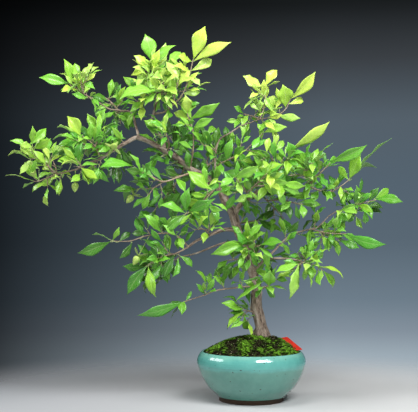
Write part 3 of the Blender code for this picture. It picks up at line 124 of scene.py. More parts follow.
# Leafy sprays: parent wood; twig routes (x, y, z); leaves drawn one by one as
# (x and z of the base, x and z of the tip, width seen, depth of the base, depth of the tip);
# and how many more leaves each twig carries by rule.
sprays = {
    "left_tip_spray": ("left_arm", [
        [(-32.2, -1.75, 42.5), (-36, -1.5, 41.6), (-39.3, -1, 40.3), (-40.4, -0.8, 40.4)],
        [(-36, -1.5, 41.6), (-38.2, -2.6, 43.6), (-40.2, -2.9, 45.2), (-41.3, -3, 46.8)],
        [(-36, -1.5, 41.6), (-36.2, 0.4, 42.8), (-36.8, 1.6, 44.2)]], [
        (-40.4, 40.4, -45.6, 41.3, 1.4, -1, -2), (-40.2, 40.2, -42.3, 39, 0.6, -0.6, 0.5),
        (-41.3, 46.4, -44.7, 47.8, 1.4, -3, -4), (-41.1, 45.6, -45.1, 45, 0.7, -3, -3.5),
        (-39.3, 42.6, -41.8, 43.5, 0.8, -1, 1), (-41.2, 47, -38, 50.2, 1.1, -3, -1.5),
        (-40.5, 46.4, -37.1, 48.2, 0.9, -3, -4.5), (-38, 43.2, -40.5, 46, 1.5, -3.4, -5),
        (-37, 44.4, -35.4, 46.5, 0.9, 1.6, 0.6), (-36.6, 44.4, -33.3, 46.2, 0.6, 1.6, 2.5),
        (-33.2, 43.8, -35.9, 44, 1.3, -2.6, -4.4), (-34.6, 42, -38.2, 40.6, 1.2, -1.6, 0.4),
        (-37.4, 44.6, -39, 48, 1.5, 1.6, 3.2)], 1),
    "left_middle_spray": ("left_arm", [
        [(-27.8, -1.2, 44.5), (-29, -2, 46.8), (-30.6, -2.4, 48.2), (-32, -2.6, 49)],
        [(-29, -2, 46.8), (-28.2, -0.6, 48.4), (-27.9, 0.4, 50.3)],
        [(-29, -2, 46.8), (-30.4, -0.6, 47), (-31.6, 1, 47.4)]], [
        (-31.6, 48.6, -34.1, 52.4, 2.4, -2.6, -3.4), (-32.5, 49, -36, 50.3, 1.2, -2.6, -1),
        (-32.3, 48.4, -36.8, 48, 0.9, -2.6, -3.6), (-29.6, 48, -32, 51.8, 0.6, -1, 0.6),
        (-28, 50.5, -27, 53.8, 2.2, 0.8, -0.6), (-29.4, 47.6, -27.3, 48.6, 1.0, -2.2, -3.4),
        (-31.6, 47.4, -34.2, 46.8, 1.2, 1.6, 3), (-29.3, 47.2, -31.2, 46.2, 1.0, -2.4, -4.2),
        (-27.2, 49, -24.6, 50.6, 1.4, 0.6, 0), (-30.3, 45.2, -28.2, 46, 0.9, 0.2, 1.8)], 2),
    "left_hanging_spray": ("left_arm", [
        [(-30.8, -1.6, 43.3), (-31.2, -2.8, 42.8), (-31.6, -3.6, 42.9)]], [
        (-31.5, 42.8, -28.4, 40.7, 1.3, -3.6, -4.6), (-31.4, 42.6, -30.5, 40.2, 0.9, -3.2, -2)], 1),
    "arm_back_spray": ("left_arm", [
        [(-25, -1.1, 46.4), (-24.4, 0.8, 44.8), (-24.8, 1.8, 43.4)]], [
        (-24.8, 43.6, -26.8, 40.8, 1.5, 1.6, 3), (-24.4, 44.2, -22, 42.6, 1.2, 1.4, 3)], 3),
    "upper_left_spray": ("upper_spur", [
        [(-28.5, 1.25, 55.2), (-31, 1, 56.5), (-33.6, 0.8, 58.2)],
        [(-31, 1, 56.5), (-31.5, 0.2, 58), (-31.6, -0.4, 59.6)]], [
        (-33.8, 58.5, -39.4, 59.6, 1.6, 0.8, -0.4), (-33.5, 58.3, -34.8, 63.1, 1.7, 0.8, 0.2),
        (-32, 57.2, -35.2, 56.9, 1.8, 0.8, -1.6), (-31.6, 59.8, -29.2, 62.4, 2.1, -0.4, -1.6),
        (-31, 56.7, -29.6, 58.4, 1.1, 0.8, 2.4), (-29.4, 55.8, -28.2, 54.2, 1, 1.2, 0)], 1),
    "spur_back_spray": ("upper_spur", [
        [(-24.6, 1.5, 53.5), (-25.4, 3.4, 54.4), (-26.4, 5.6, 55.4), (-27.4, 7.6, 56)],
        [(-25.4, 3.4, 54.4), (-24.6, 4.6, 52.8), (-24.2, 5.4, 51)]], [
        (-24.8, 54.4, -25.2, 57.5, 0.6, 2, 1), (-24.4, 52, -21.6, 50.6, 1.2, 4.8, 3.6)], 4),
    "middle_left_spray": ("left_leader", [
        [(-10, 1.2, 41.9), (-11.8, -1.2, 41.6), (-13.6, -2.4, 41), (-16.3, -3, 40.2), (-18.5, -3.2, 41.2),
         (-20.3, -3.4, 41.9), (-21.6, -3.4, 43)],
        [(-16.3, -3, 40.2), (-18.3, -2.2, 39), (-21, -1.6, 38.9)]], [
        (-21.7, 43.1, -28.1, 42.7, 2.3, -3.4, -5), (-21.2, 38.8, -25.1, 37.2, 1.4, -1.6, -2.8),
        (-21.1, 38.7, -24.5, 35.9, 1.2, -1.6, 0), (-18.2, 39, -17.4, 36.3, 1.3, -2.2, -1.6),
        (-14, 40.8, -12.2, 38.2, 1.4, -2.4, -3.4), (-16.4, 40.4, -19.5, 43.2, 1.6, -3, -1.4),
        (-20.4, 42, -22.6, 45.4, 1.3, -3.4, -4.4)], 1),
    "hub_spray": ("left_leader", [
        [(-6.4, 0.7, 39.4), (-7.4, -2, 38), (-9.2, -3.8, 36.2), (-11, -4.8, 34.8), (-12.2, -5.2, 34.2)],
        [(-9.2, -3.8, 36.2), (-8.4, -5, 37.4), (-7.4, -5.8, 38.4)]], [
        (-12.2, 34.4, -17, 35.8, 1.9, -5.2, -6.6), (-12, 34.6, -11.4, 39.2, 2, -5.2, -6.4),
        (-11.6, 34.6, -6.8, 36.9, 1.3, -5, -6.6), (-11, 34.8, -9, 32.6, 1.1, -4.8, -6),
        (-12.3, 34, -15.9, 31, 1.2, -5.2, -6), (-12.4, 34.1, -15.9, 32.6, 0.8, -5.2, -3.6),
        (-7.2, 38.6, -11.8, 42.2, 2.6, -5.8, -7)], 0),
    "shadow_left_spray": ("left_leader", [
        [(-12.2, 1.1, 43.2), (-13, 3, 41.4), (-14.6, 4.6, 39), (-16.6, 5.6, 36.6), (-18.4, 6.2, 34.2)],
        [(-14.6, 4.6, 39), (-13, 6.6, 36.8), (-11.4, 8, 36.2)]], [
        (-18.4, 34.4, -21, 33.4, 1.9, 6.2, 5), (-17.6, 35.4, -20.4, 36.6, 1.2, 5.8, 4.4),
        (-17, 36, -13, 38.2, 0.9, 5.6, 3.4), (-18.3, 34, -16.4, 31.6, 1.6, 6.2, 5)], 3),
    "outer_left_spray": ("middle_left_branch", [
        [(-11.6, -3.1, 28.2), (-12.7, -3.8, 29.2), (-13.6, -4, 30.1), (-15, -4, 30.6), (-17, -3.8, 30.6),
         (-20, -3.4, 30), (-22.5, -3, 29.2), (-25.8, -2.6, 29.2)]], [
        (-26, 29.1, -32.1, 27, 1.1, -2.6, -3.8), (-26.1, 29.5, -29.4, 30.4, 0.7, -2.6, -1),
        (-25.6, 29.4, -24.4, 31.8, 0.5, -2.6, -3.4), (-24.4, 29.1, -22.2, 30.8, 1.2, -2.8, -1.2),
        (-22, 29, -24.4, 26, 0.9, -3, -4.2), (-20.6, 29.7, -17.2, 26.6, 1.6, -3.4, -5),
        (-16.5, 30.8, -20, 34.2, 1.9, -3.8, -4.6), (-13.7, 29.9, -13.5, 27.6, 1.2, -4, -5.4),
        (-20, 30.2, -21.4, 33.6, 1.6, -3.4, -1.6), (-15, 30.8, -13.2, 33, 1.2, -4, -2)], 0),
    "lower_left_spray": ("middle_left_branch", [
        [(-11.5, -3.1, 28.2), (-14, -3.6, 26.9), (-16.2, -4, 26.4), (-19, -4.2, 24.9)],
        [(-16.2, -4, 26.4), (-17.4, -2.4, 25.6), (-19.4, -1.2, 24.6)]], [
        (-18.8, 24.8, -14.9, 25.9, 1.6, -4.2, -6), (-19.2, 24.6, -22.9, 19.3, 1.9, -4.2, -5),
        (-19, 24.4, -17.6, 18.8, 1.9, -4.2, -5.2), (-19.6, 24.5, -23.8, 24.6, 1.2, -1.2, -2),
        (-14.2, 26.6, -16.1, 22.4, 1.4, -3.6, -4.4), (-19.5, 24.4, -20.8, 21.2, 1.3, -1.2, 0.4)], 1),
    "low_left_tip_spray": ("low_left_branch", [
        [(-14.6, 2.7, 25.4), (-16.6, 2.4, 24), (-18.6, 2, 22.8)],
        [(-16.6, 2.4, 24), (-17.2, 4.2, 24.4), (-18, 6, 25)]], [
        (-18.6, 22.8, -21.6, 21.8, 1.4, 2, 1), (-18.4, 22.8, -19.4, 19.6, 1.3, 2, 3.4),
        (-16.6, 24, -15.4, 21.4, 1.4, 2.4, 1.2)], 2),
    "lowest_left_spray": ("trunk", [
        [(1, -0.1, 21), (-2, -0.8, 20.7), (-6.5, -1.2, 20.1), (-8.5, -1.4, 19.3), (-12.2, -1.6, 18.1)]], [
        (-12.4, 18, -15.6, 17.4, 1.3, -1.6, -0.6), (-12.4, 18, -21, 15.5, 1.3, -1.6, -3.4),
        (-12.3, 18.1, -12.8, 15.6, 1.6, -1.6, -2.8), (-12, 18.2, -11, 20, 0.6, -1.6, -1),
        (-12.4, 18.1, -14.8, 15, 0.9, -1.6, 0.2), (-8.6, 19.4, -10.2, 21.4, 1.1, -1.4, -2.6)], 0),
    "top_crown_spray": ("top_leader", [
        [(-17.44, 0.56, 56.6), (-17.8, 0.4, 59), (-18.2, 0.2, 61.2), (-18.4, 0, 62.6)],
        [(-17.8, 0.4, 59), (-19, -0.8, 59.8), (-19.6, -1.4, 60.2)],
        [(-17.8, 0.4, 59), (-16.4, 1.6, 60.6), (-15.4, 2.4, 62)]], [
        (-18.5, 62.7, -19.7, 67.7, 3, 0, -0.8), (-18.6, 61, -21.8, 63.7, 2.2, 0, -1.2),
        (-19.3, 60, -22, 61.5, 1.8, -1.4, -2.8), (-18.9, 59.2, -22.3, 58.6, 1.6, -0.8, 0.4),
        (-18, 61.6, -14, 65.6, 2.5, 0.2, -1.4), (-19.2, 60.2, -16.4, 59.4, 1.5, -1.4, -3.4),
        (-15.4, 62.2, -13, 64.4, 2.2, 2.4, 3.6), (-16.6, 60.4, -14.2, 60.2, 1.2, 1.6, 0)], 1),
    "top_front_spray": ("top_leader", [
        [(-17.7, 0.9, 54.6), (-16.9, -0.8, 56), (-16.2, -2.2, 57.6), (-16.4, -3, 59)],
        [(-16.9, -0.8, 56), (-19.2, -1, 55.2), (-21.4, -1, 55.2)]], [
        (-16.8, 57, -24.6, 55.4, 2.8, -3, -4.6), (-16.4, 59, -18.2, 61.4, 1.8, -3, -4.4),
        (-16.2, 58.4, -13.4, 60, 2, -2.8, -4.4), (-16.2, 57.4, -13.6, 56.2, 1.7, -2.2, -3.8),
        (-21.4, 55.4, -23.8, 57.4, 0.8, -1, 0), (-20, 54.2, -20.4, 51.6, 1.4, -0.2, -1.8),
        (-16.8, 56.2, -14.6, 53.6, 1.4, -1.2, -2.8)], 0),
    "crown_right_spray": ("top_leader", [
        [(-18.1, 1.15, 52.8), (-16, 0.4, 53.2), (-14.4, -0.2, 54.6), (-13, -0.6, 56), (-11.8, -0.8, 58.6),
         (-11.2, -1, 61), (-10.8, -1, 62.8)],
        [(-14.4, -0.2, 54.6), (-14, -1.6, 57), (-13.4, -2.6, 59)]], [
        (-10.7, 63, -8.5, 69.2, 3, -1, -1.8), (-11, 62.6, -13.6, 63.6, 2.4, -1, -2.2),
        (-10.7, 62.6, -3.7, 66.2, 1.6, -1, -2.4), (-11.2, 60.8, -7.3, 63, 1.3, -1, 0.6),
        (-11.4, 60, -9.4, 58, 1.5, -1, -2.2), (-11.4, 60.4, -14.4, 61.8, 1.4, -1, -3),
        (-13.4, 59.2, -16, 62.4, 2, -2.6, -4), (-13.5, 58.6, -10.6, 59.4, 1.2, -2.4, -3.6),
        (-13.6, 57.2, -15.6, 57, 1.5, -1.8, -3.2), (-12.8, 56.6, -9.4, 56.9, 1, -0.6, 0.6)], 1),
    "crown_back_spray": ("top_leader", [
        [(-17.5, 0.75, 55.6), (-16.8, 3, 57), (-16, 5.2, 58.6), (-15, 7, 60.4)],
        [(-16.8, 3, 57), (-18.8, 4.6, 57), (-21, 6, 56.8)],
        [(-16.8, 3, 57), (-14.4, 4.6, 56.8), (-11.8, 6.4, 57.2)]], [
        (-15, 60.6, -13.4, 64, 1.8, 7, 6), (-21, 57, -22.6, 59.4, 1.4, 6, 5)], 4),
    "side_twig_spray": ("left_leader", [
        [(-11.3, 1.2, 42.7), (-10.8, 0.4, 45.6), (-10.7, -0.2, 49), (-11.2, -0.6, 51),
         (-11.8, -0.8, 52.8)]], [
        (-11.8, 53, -12.2, 56.4, 2, -0.8, -2.2), (-11.3, 51.8, -5.8, 54.9, 1, -0.8, -1.8),
        (-10.8, 50, -7, 52, 1.2, -0.4, -1.6), (-10.8, 49.8, -14.5, 50.5, 1.1, -0.2, -1.4),
        (-11.4, 51.6, -14.4, 53, 1.3, -0.6, 1), (-10.8, 46.2, -13.4, 47.6, 1.2, 0.2, -1.2),
        (-11.8, 52.4, -9.6, 54.4, 1.2, -0.8, 0.8)], 0),
    "leader_spur_spray": ("left_leader", [
        [(-15.6, 0.5, 45.8), (-15.2, -1.4, 47.2), (-15.8, -2.4, 49.2), (-16.2, -2.8, 50.4)]], [
        (-16.2, 50.4, -15.6, 53, 1, -2.8, -3.4), (-16.1, 50.2, -18.8, 51.2, 1.2, -2.8, -4),
        (-15.6, 48.8, -13.2, 49.2, 1, -2.2, -3.6)], 1),
    "upper_right_spray": ("upright_branch", [
        [(-0.6, -0.55, 51), (1.6, -0.8, 51.8), (3.5, -1, 52.1), (5, -1.1, 52.6), (6.5, -1.2, 53.8),
         (7.3, -1.2, 55.6)],
        [(1.6, -0.8, 51.8), (2.6, -1.2, 54.6), (2.5, -1.4, 57.4)],
        [(1.6, -0.8, 51.8), (0.2, 0.8, 52.4), (-1.4, 1.6, 52.8)]], [
        (-1.4, 52.8, -3.2, 54.2, 1.3, 1.6, 1), (-0.4, 52.6, -1.8, 50.4, 1.2, 1.2, 0),
        (2.3, 57.8, -1.5, 59.9, 2.7, -1.4, -2.4), (2.6, 58, 4.9, 61, 2, -1.4, -1),
        (2.6, 57.6, 5.4, 58.9, 0.8, -1.4, -2.6), (6.4, 54, 5.9, 58.3, 3, -1.2, -2.8),
        (2.4, 57, 0, 56, 0.9, -1.4, -0.2), (2.5, 56.4, -1.4, 53.6, 1.2, -1.4, -2.4),
        (4.6, 52.8, 4, 55.8, 2, -1.1, 0.8), (5, 52.4, 9.2, 52, 1, -1.1, -2),
        (7.3, 55.6, 12, 60.7, 1.1, -1.2, -2), (4.2, 52.2, 1.6, 49.6, 1.5, -1.1, -2.4),
        (7, 54.6, 9.6, 55.4, 1.2, -1.2, 0.4)], 0),
    "upright_low_spray": ("upright_branch", [
        [(-6.5, 0.3, 43), (-5.2, -1, 43.8), (-3.6, -1.8, 44.6), (-1.8, -2, 45.4), (0, -2, 47),
         (2.2, -2, 49.2)]], [
        (2.3, 49.3, 6.7, 50.4, 1.1, -2, -3), (1.6, 48.7, 0.2, 46.2, 1.4, -2, -3.4),
        (2, 49.2, 1.2, 51, 1, -2, -2.6), (-4.6, 44.2, -3.4, 48.2, 1.8, -1.6, -2.8),
        (-3.4, 44.8, -1.2, 46.8, 1, -1.8, -3.6), (-0.8, 46.2, -3, 43.8, 1.2, -2, -3.6),
        (-5.6, 43.6, -5.2, 41.4, 1.2, -1, -2.6)], 0),
    "upright_side_spray": ("upright_branch", [
        [(-6.5, 0.2, 45.8), (-8, 1, 46.8), (-10, 1.6, 47.9)]], [
        (-10, 48, -12.4, 48.8, 0.9, 1.6, 2.6), (-9, 47.4, -8.6, 49.6, 1.1, 1.4, 0)], 2),
    "canopy_front_spray": ("right_leader", [
        [(-0.6, 0.85, 37), (-0.8, -1.2, 38.2), (-1.8, -3, 39.6), (-3, -4.6, 41)],
        [(-0.8, -1.2, 38.2), (0.6, -3, 39.4), (1.8, -4.4, 40.6), (2.8, -5.4, 41.6)],
        [(0.6, -3, 39.4), (3.4, -3.8, 39.6), (5.6, -4.4, 40)]], [
        (-3.2, 41, 1.4, 43.2, 1, -4.6, -6), (-3, 41.2, -2.6, 44.2, 0.8, -4.6, -5),
        (-3.2, 41, -5.8, 39.2, 1.6, -4.6, -5.8), (-2.6, 40.2, -1.6, 37.6, 1.2, -3.8, -5.2),
        (2.9, 41.7, 5.8, 43.4, 1.4, -5.4, -6.8), (2.6, 41.6, 0.4, 40.6, 1.3, -5.2, -7),
        (3, 41.6, 3.6, 38.8, 1.6, -5.4, -6.6), (5.6, 40, 10, 39.4, 1.3, -4.4, -5.6),
        (5.2, 40, 5.2, 36.8, 1.5, -4.2, -5.6), (3.2, 39.6, 1.2, 36.6, 1.5, -3.8, -5),
        (1.5, 40.2, 0.2, 43.2, 1.4, -4, -3)], 1),
    "canopy_top_spray": ("right_leader", [
        [(3.4, 1.15, 38.9), (4.4, -0.4, 41), (5.6, -1.4, 43), (6.8, -2, 44.4), (7.6, -2.2, 46.2)],
        [(5.6, -1.4, 43), (4, -2.2, 44.2), (2.8, -2.6, 45.6)]], [
        (7.2, 45, 6.8, 47.6, 2.1, -2.2, -3.2), (7.6, 46.4, 14.6, 51.4, 0.8, -2.2, -3.6),
        (7.7, 46.2, 11.6, 47.6, 0.7, -2.2, -0.8), (4, 44, 1.2, 46.2, 1.1, -2, -3.4),
        (2.9, 45.6, 3.4, 48.4, 1.2, -2.6, -2), (5, 42.2, 2.2, 42.2, 1.2, -1, -2.2),
        (6.4, 44, 9, 43, 1.4, -1.8, -3.2), (5.8, 43.2, 4.4, 45.6, 1.3, -1.4, 0.4)], 1),
    "canopy_right_spray": ("right_leader", [
        [(10.4, 0.1, 39.5), (11.6, -1, 40.6), (13.4, -1.7, 42.4), (14.6, -2, 43.6)],
        [(11.6, -1, 40.6), (10.6, -2, 42.4), (11.2, -2.4, 44)],
        [(11.6, -1, 40.6), (10, -1.8, 41.2), (8.8, -2, 42)]], [
        (11.4, 44.2, 15.2, 47.4, 1.1, -2.4, -3.4), (14.6, 43.8, 21.5, 47, 1.1, -2, -3.4),
        (13.8, 42.8, 17, 43.4, 0.8, -1.8, -0.6), (10.4, 43, 8.2, 45.2, 1.4, -2, -0.8),
        (9.6, 42.2, 11.6, 40.4, 1.6, -1.8, -3.4), (8.6, 41.2, 6.4, 42.4, 1.4, -1, -2.8),
        (12.8, 41.4, 14.2, 39, 1.4, -1.2, -2.8), (11.2, 43.8, 12.4, 46.4, 1.2, -2.4, -1)], 1),
    "canopy_end_spray": ("right_leader", [
        [(10.4, 0.1, 39.5), (12.6, 0.2, 38.6), (14.6, -0.4, 38.3), (16.4, -1, 39.2), (18.2, -1.4, 40.6)]], [
        (18.2, 40.8, 20.3, 45.4, 2.6, -1.4, -2.6), (18.3, 40.8, 26.1, 48.3, 0.9, -1.4, -2.6),
        (18.2, 40.4, 23.3, 42.8, 0.7, -1.4, 0), (16.6, 39.4, 16.6, 36.8, 1.1, -1, -2),
        (13, 38.5, 15.2, 36.8, 1.5, 0, -1.6), (12.4, 38.6, 11, 36, 1.4, 0.2, -1.2),
        (15.4, 38.6, 14.4, 41.4, 1.4, -0.6, 0.8), (18, 40.6, 16.2, 43, 1.2, -1.4, 0.4)], 0),
    "canopy_under_spray": ("right_leader", [
        [(1.6, 1.2, 38.3), (3, 3, 36.6), (4.6, 4.4, 35), (6, 5.4, 33.4)],
        [(3, 3, 36.6), (5, 1.2, 36.8), (7.4, -0.6, 36.4), (9.4, -2, 36)]], [
        (9.4, 36.2, 12.2, 36, 1.3, -2, -3), (9.2, 36, 9.6, 33.4, 1.5, -2, -3),
        (7.4, 36.6, 5.4, 34.6, 1.5, -1.4, -2.8), (6.2, 37.4, 8.6, 38, 1.2, -0.6, -2.2),
        (6, 33.4, 7.4, 30.6, 1.5, 5.4, 4.4), (4.4, 35, 2.4, 32.8, 1.5, 4.4, 3.4)], 2),
    "canopy_back_spray": ("right_leader", [
        [(1.8, 1.2, 38.5), (2, 3.8, 40), (2.4, 6.4, 41.4), (3, 9, 42.4)],
        [(2, 3.8, 40), (4.6, 5, 40.8), (7.6, 6.4, 41.4), (10.4, 8.2, 41.8)],
        [(2, 3.8, 40), (-0.4, 6.6, 41.4), (-2.8, 8.8, 43.2)]], [
        (3, 42.6, 2.4, 45.6, 1.6, 9, 8)], 5),
    "leader_back_spray": ("left_leader", [
        [(-8.4, 1.1, 41), (-8.2, 3.8, 43), (-8, 6.6, 45), (-7.6, 9, 47)],
        [(-8.2, 3.8, 43), (-5.4, 6.4, 45), (-3, 8.2, 46.8)]], [
        (-7.6, 47.2, -9, 50, 1.6, 9, 8)], 5),
    "leader_rear_spray": ("left_leader", [
        [(-14, 0.9, 44.8), (-13.8, 3.6, 46.2), (-14.4, 6.4, 47.6), (-15.2, 9, 48.6)]], [
        (-14.2, 47.4, -16.4, 45.6, 1.4, 6, 5)], 6),
    "far_right_spray": ("right_branch", [
        [(14.2, -0.2, 33.8), (16, -0.4, 34.8), (18, -0.6, 35.3), (20, -1, 36.1), (23, -1.4, 36.8)],
        [(18, -0.6, 35.3), (19.6, 1, 35.4), (21.2, 2.4, 35)]], [
        (23, 36.9, 28.1, 36.4, 1.6, -1.4, -2.6), (22.8, 37, 25.5, 39, 1, -1.4, 0),
        (20.6, 36.2, 22.4, 33.2, 1.8, -1, -2.6), (18.2, 35.2, 17.8, 32.8, 1.4, -0.6, -1.8),
        (19.8, 36.2, 22.2, 38.2, 0.9, -1, -2), (21.2, 35, 24.2, 34.4, 1.2, 2.4, 2),
        (17.8, 35.4, 16.6, 37, 0.8, -0.6, 0.6), (21, 35, 21, 32.4, 1.2, 2.4, 3.4)], 0),
    "right_low_spray": ("right_branch", [
        [(11.2, 0.4, 31.4), (13, -0.8, 30.9), (15, -1.4, 30.6), (17.4, -1.8, 30.6)],
        [(13, -0.8, 30.9), (14, 0.8, 30.2), (14.9, 2.4, 30)]], [
        (17.5, 30.6, 25, 28.6, 1.4, -1.8, -3.2), (14.6, 30.6, 15, 28.6, 1.3, -1.4, -2.6),
        (16.6, 30.6, 19.4, 29.4, 1, -1.6, -0.2), (15.4, 30.8, 17.4, 32.6, 1, -1.4, 0),
        (14.8, 30, 14, 28, 1.2, 2.4, 3), (14.8, 30.2, 17.6, 28.2, 1.2, 2.4, 4)], 1),
    "low_right_spray": ("low_right_branch", [
        [(8.4, -1.35, 25.7), (10.2, -1.6, 25.2), (12.2, -2, 24.6), (13.2, -2.2, 23.8)],
        [(10.2, -1.6, 25.2), (9.8, 0.4, 26.2), (8.8, 2.2, 27)],
        [(10.2, -1.6, 25.2), (9.6, -2.9, 25.2), (8.9, -3.8, 25)]], [
        (8.7, 25, 4.4, 23.4, 1.8, -3.8, -5), (8.8, 24.9, 7, 18.5, 1.6, -3.8, -4.8),
        (10.4, 25.4, 13.2, 26.2, 1.2, -1.6, -2.8), (10.2, 25, 11.4, 22.2, 1.5, -1.6, -2.8),
        (12.3, 24.6, 17, 22.3, 1.5, -2, -3.2), (13.2, 23.8, 15, 20.6, 1.5, -2.2, -1.2),
        (9.7, 25.6, 11.2, 28.6, 1.1, -1.6, -0.4), (8.6, 27.1, 11.2, 28, 1, 2.2, 3.4),
        (8.6, 27, 8.6, 24.6, 1.3, 2.2, 3.2), (7.2, 26.7, 5.6, 28.8, 1.1, 0.6, -0.6),
        (13, 23.9, 12.6, 21.2, 1.1, -2.2, -3.6)], 0),
    "trunk_front_spray": ("trunk", [
        [(-0.6, -0.1, 27.4), (0.4, -1.8, 28), (1.6, -2.8, 28.4)],
        [(0.4, -1.8, 28), (-0.4, -2.8, 28.4), (-1.2, -3.4, 28.6)]], [
        (-0.4, 28.5, -2.8, 30.8, 1.9, -3, -4), (-1.2, 28.6, -7.5, 26.7, 1.7, -3.4, -5),
        (1.7, 28.5, 5.8, 29, 2, -2.8, -4), (1.2, 28.2, 4, 26, 1.2, -2.6, -3.8),
        (-1, 28.4, -1.4, 25.8, 1.3, -3.2, -4.4)], 0),
    "trunk_right_spray": ("trunk", [
        [(1, -0.1, 20), (2.4, -1.2, 20.6), (3.4, -1.8, 21.4), (3.4, -2.2, 22.6)]], [
        (3.4, 22.6, -3, 18, 1.5, -2.2, -3.4), (3.2, 22.8, -1.8, 21.4, 1, -2.2, -3.8),
        (3.3, 20.9, 3.5, 23.8, 2.4, -1.8, -3.6), (3, 20.9, 6.5, 20.1, 1.1, -1.6, -2.6),
        (2.6, 20.8, 4.4, 18.8, 1, -1.4, -0.4)], 0),
    "trunk_low_spray": ("trunk", [
        [(1.4, -0.1, 15.6), (0, -1, 16.2), (-1.4, -1.6, 16.4)]], [
        (-1.5, 16.6, -5.6, 17.8, 2, -1.6, -2.8), (-1.4, 16.2, -4.4, 13.2, 1.3, -1.6, -2.4)], 0),
    "trunk_back_spray": ("trunk", [
        [(-0.2, 0, 26.6), (-1.4, 2.4, 26.2), (-3, 4.4, 25.8), (-4.8, 6, 25.6)],
        [(-1.4, 2.4, 26.2), (1.2, 4, 26), (4, 5.6, 26.4)]], [
        (-4.4, 25.7, -6.4, 23.8, 1.4, 5.6, 4.8), (-2.6, 26, -1.6, 24, 1.2, 4, 2.8)], 4),
    "upper_back_spray": ("trunk", [
        [(-2.8, 0, 32.4), (-1.4, 2.6, 32.6), (0.8, 4.8, 33), (3, 6.6, 33.4)]], [
        (1.4, 33.2, 3.8, 31, 1.4, 5.2, 4)], 6),
    "middle_back_spray": ("middle_left_branch", [
        [(-7.6, -2.05, 30.3), (-8.4, -3.8, 31.2), (-9.6, -5.4, 31.6)]], [
        (-9.7, 31.7, -8, 34, 1.5, -5.4, -6.4)], 2),
}

# Hanging fruits: (stalk's top x, y, z), (calyx x, y, z), parent wood or spray
fruits = {
    "fruit_left": ((-32.4, -2.0, 42.1), (-32.6, -2.2, 40.0), "left_arm"),
    "fruit_upper": ((-25.9, -1.2, 45.8), (-25.5, -3.2, 46.6), "left_arm"),
    "fruit_middle": ((-21.6, -1.75, 38.6), (-21.9, -1.9, 37.6), "middle_left_spray"),
    "fruit_low": ((-20.4, -3.7, 29.6), (-20.9, -3.9, 26.4), "outer_left_spray"),
}


turns = random.Random(drawing["seed"])


def spot(x, y, z):
    # a point of the drawing, moved along its sight line to its depth
    eye = drawing["eye"]
    depth = y * cm * drawing["depthSpread"]
    spread = (depth - eye.y) / -eye.y
    return Vector((eye.x + (x * cm - eye.x) * spread, depth, eye.z + (z * cm - eye.z) * spread))


def clamp(value):
    return max(0.0, min(1.0, value))


def smoothRoute(points, steps):
    # a curve through every point
    out = []
    last = len(points) - 1
    for i in range(last):
        around = (points[max(i - 1, 0)], points[i], points[i + 1], points[min(i + 2, last)])
        for s in range(steps):
            t = s / steps
            out.append([
                0.5 * (2 * b + (c - a) * t + (2 * a - 5 * b + 4 * c - d) * t * t
                       + (3 * b - a - 3 * c + d) * t ** 3)
                for a, b, c, d in zip(*around)])
    out.append(list(points[-1]))
    return out


def smoothLimb(stations, steps):
    # (centre, radius) pairs, smoothed
    fine = smoothRoute([(*centre, radius) for centre, radius in stations], steps)
    return [(Vector((x, y, z)), radius) for x, y, z, radius in fine]


def nearestOn(route, point):
    best = None
    for (start, thick), (end, thin) in zip(route, route[1:]):
        foot, share = intersect_point_line(point, start, end)
        share = min(max(share, 0.0), 1.0)
        foot = start.lerp(end, share)
        far = (point - foot).length
        if best is None or far < best[2]:
            best = (foot, thick + (thin - thick) * share, far)
    return best


def twigRoute(points, parentRoute):
    # thicker the longer it is, and thinner than the wood it leaves
    smooth = smoothRoute(points, 2 if len(points) < 5 else 1)
    last = len(smooth) - 1
    places = [spot(*point) for point in smooth]
    thick = 0.0011 + 0.00012 * len(points)
    foot, radius, far = nearestOn(parentRoute, places[0])
    if far < radius:
        places[0] = foot
        thick = min(thick, radius * drawing["thinner"])
    return [(place, thick + (drawing["twigEnd"] - thick) * i / last) for i, place in enumerate(places)]


def ringFaces(rows, sides, closed=False):
    # four-sided faces between rings of points
    faces = []
    for i in range(rows if closed else rows - 1):
        low = i * sides
        high = (i + 1) % rows * sides
        for k in range(sides):
            after = (k + 1) % sides
            faces.append((low + k, low + after, high + after, high + k))
    return faces


def limb(route, sides, knots=0.0, seed=0.0):
    # a round limb with swellings; also each vertex's place on the bark, running along the grain
    vertices = []
    grain = []
    side = None
    last = len(route) - 1
    along = 0.0
    for i, (centre, radius) in enumerate(route):
        if i:
            along += (centre - route[i - 1][0]).length
        ahead = (route[min(i + 1, last)][0] - route[max(i - 1, 0)][0]).normalized()
        if side is None:
            side = ahead.orthogonal().normalized()
        side = (side - ahead * side.dot(ahead)).normalized()
        other = ahead.cross(side)
        for k in range(sides):
            angle = 2 * math.pi * k / sides
            way = side * math.cos(angle) + other * math.sin(angle)
            swell = 1 + knots * noise.noise(Vector((math.cos(angle), math.sin(angle), along * 60 + seed)))
            vertices.append(centre + way * radius * swell)
            grain.append((math.cos(angle) * radius, math.sin(angle) * radius, along * 0.3 + seed))
    faces = ringFaces(last + 1, sides)
    faces.append(tuple(range(sides))[::-1])
    faces.append(tuple(last * sides + k for k in range(sides)))
    return vertices, faces, grain


def plainTube(route, sides, swell=0.0):
    vertices, faces, _ = limb([(centre, radius + swell) for centre, radius in route], sides)
    return vertices, [(f[0], f[k], f[k + 1]) for f in faces for k in range(1, len(f) - 1)]


def leafFrame(base, tip, roll):
    axis = (tip - base).normalized()
    side = axis.cross(drawing["leafFaces"])
    if side.length < 0.15:
        side = axis.cross(drawing["orElseFaces"])
    side.normalize()
    side = Matrix.Rotation(roll, 3, axis) @ side
    return axis, side, side.cross(axis)


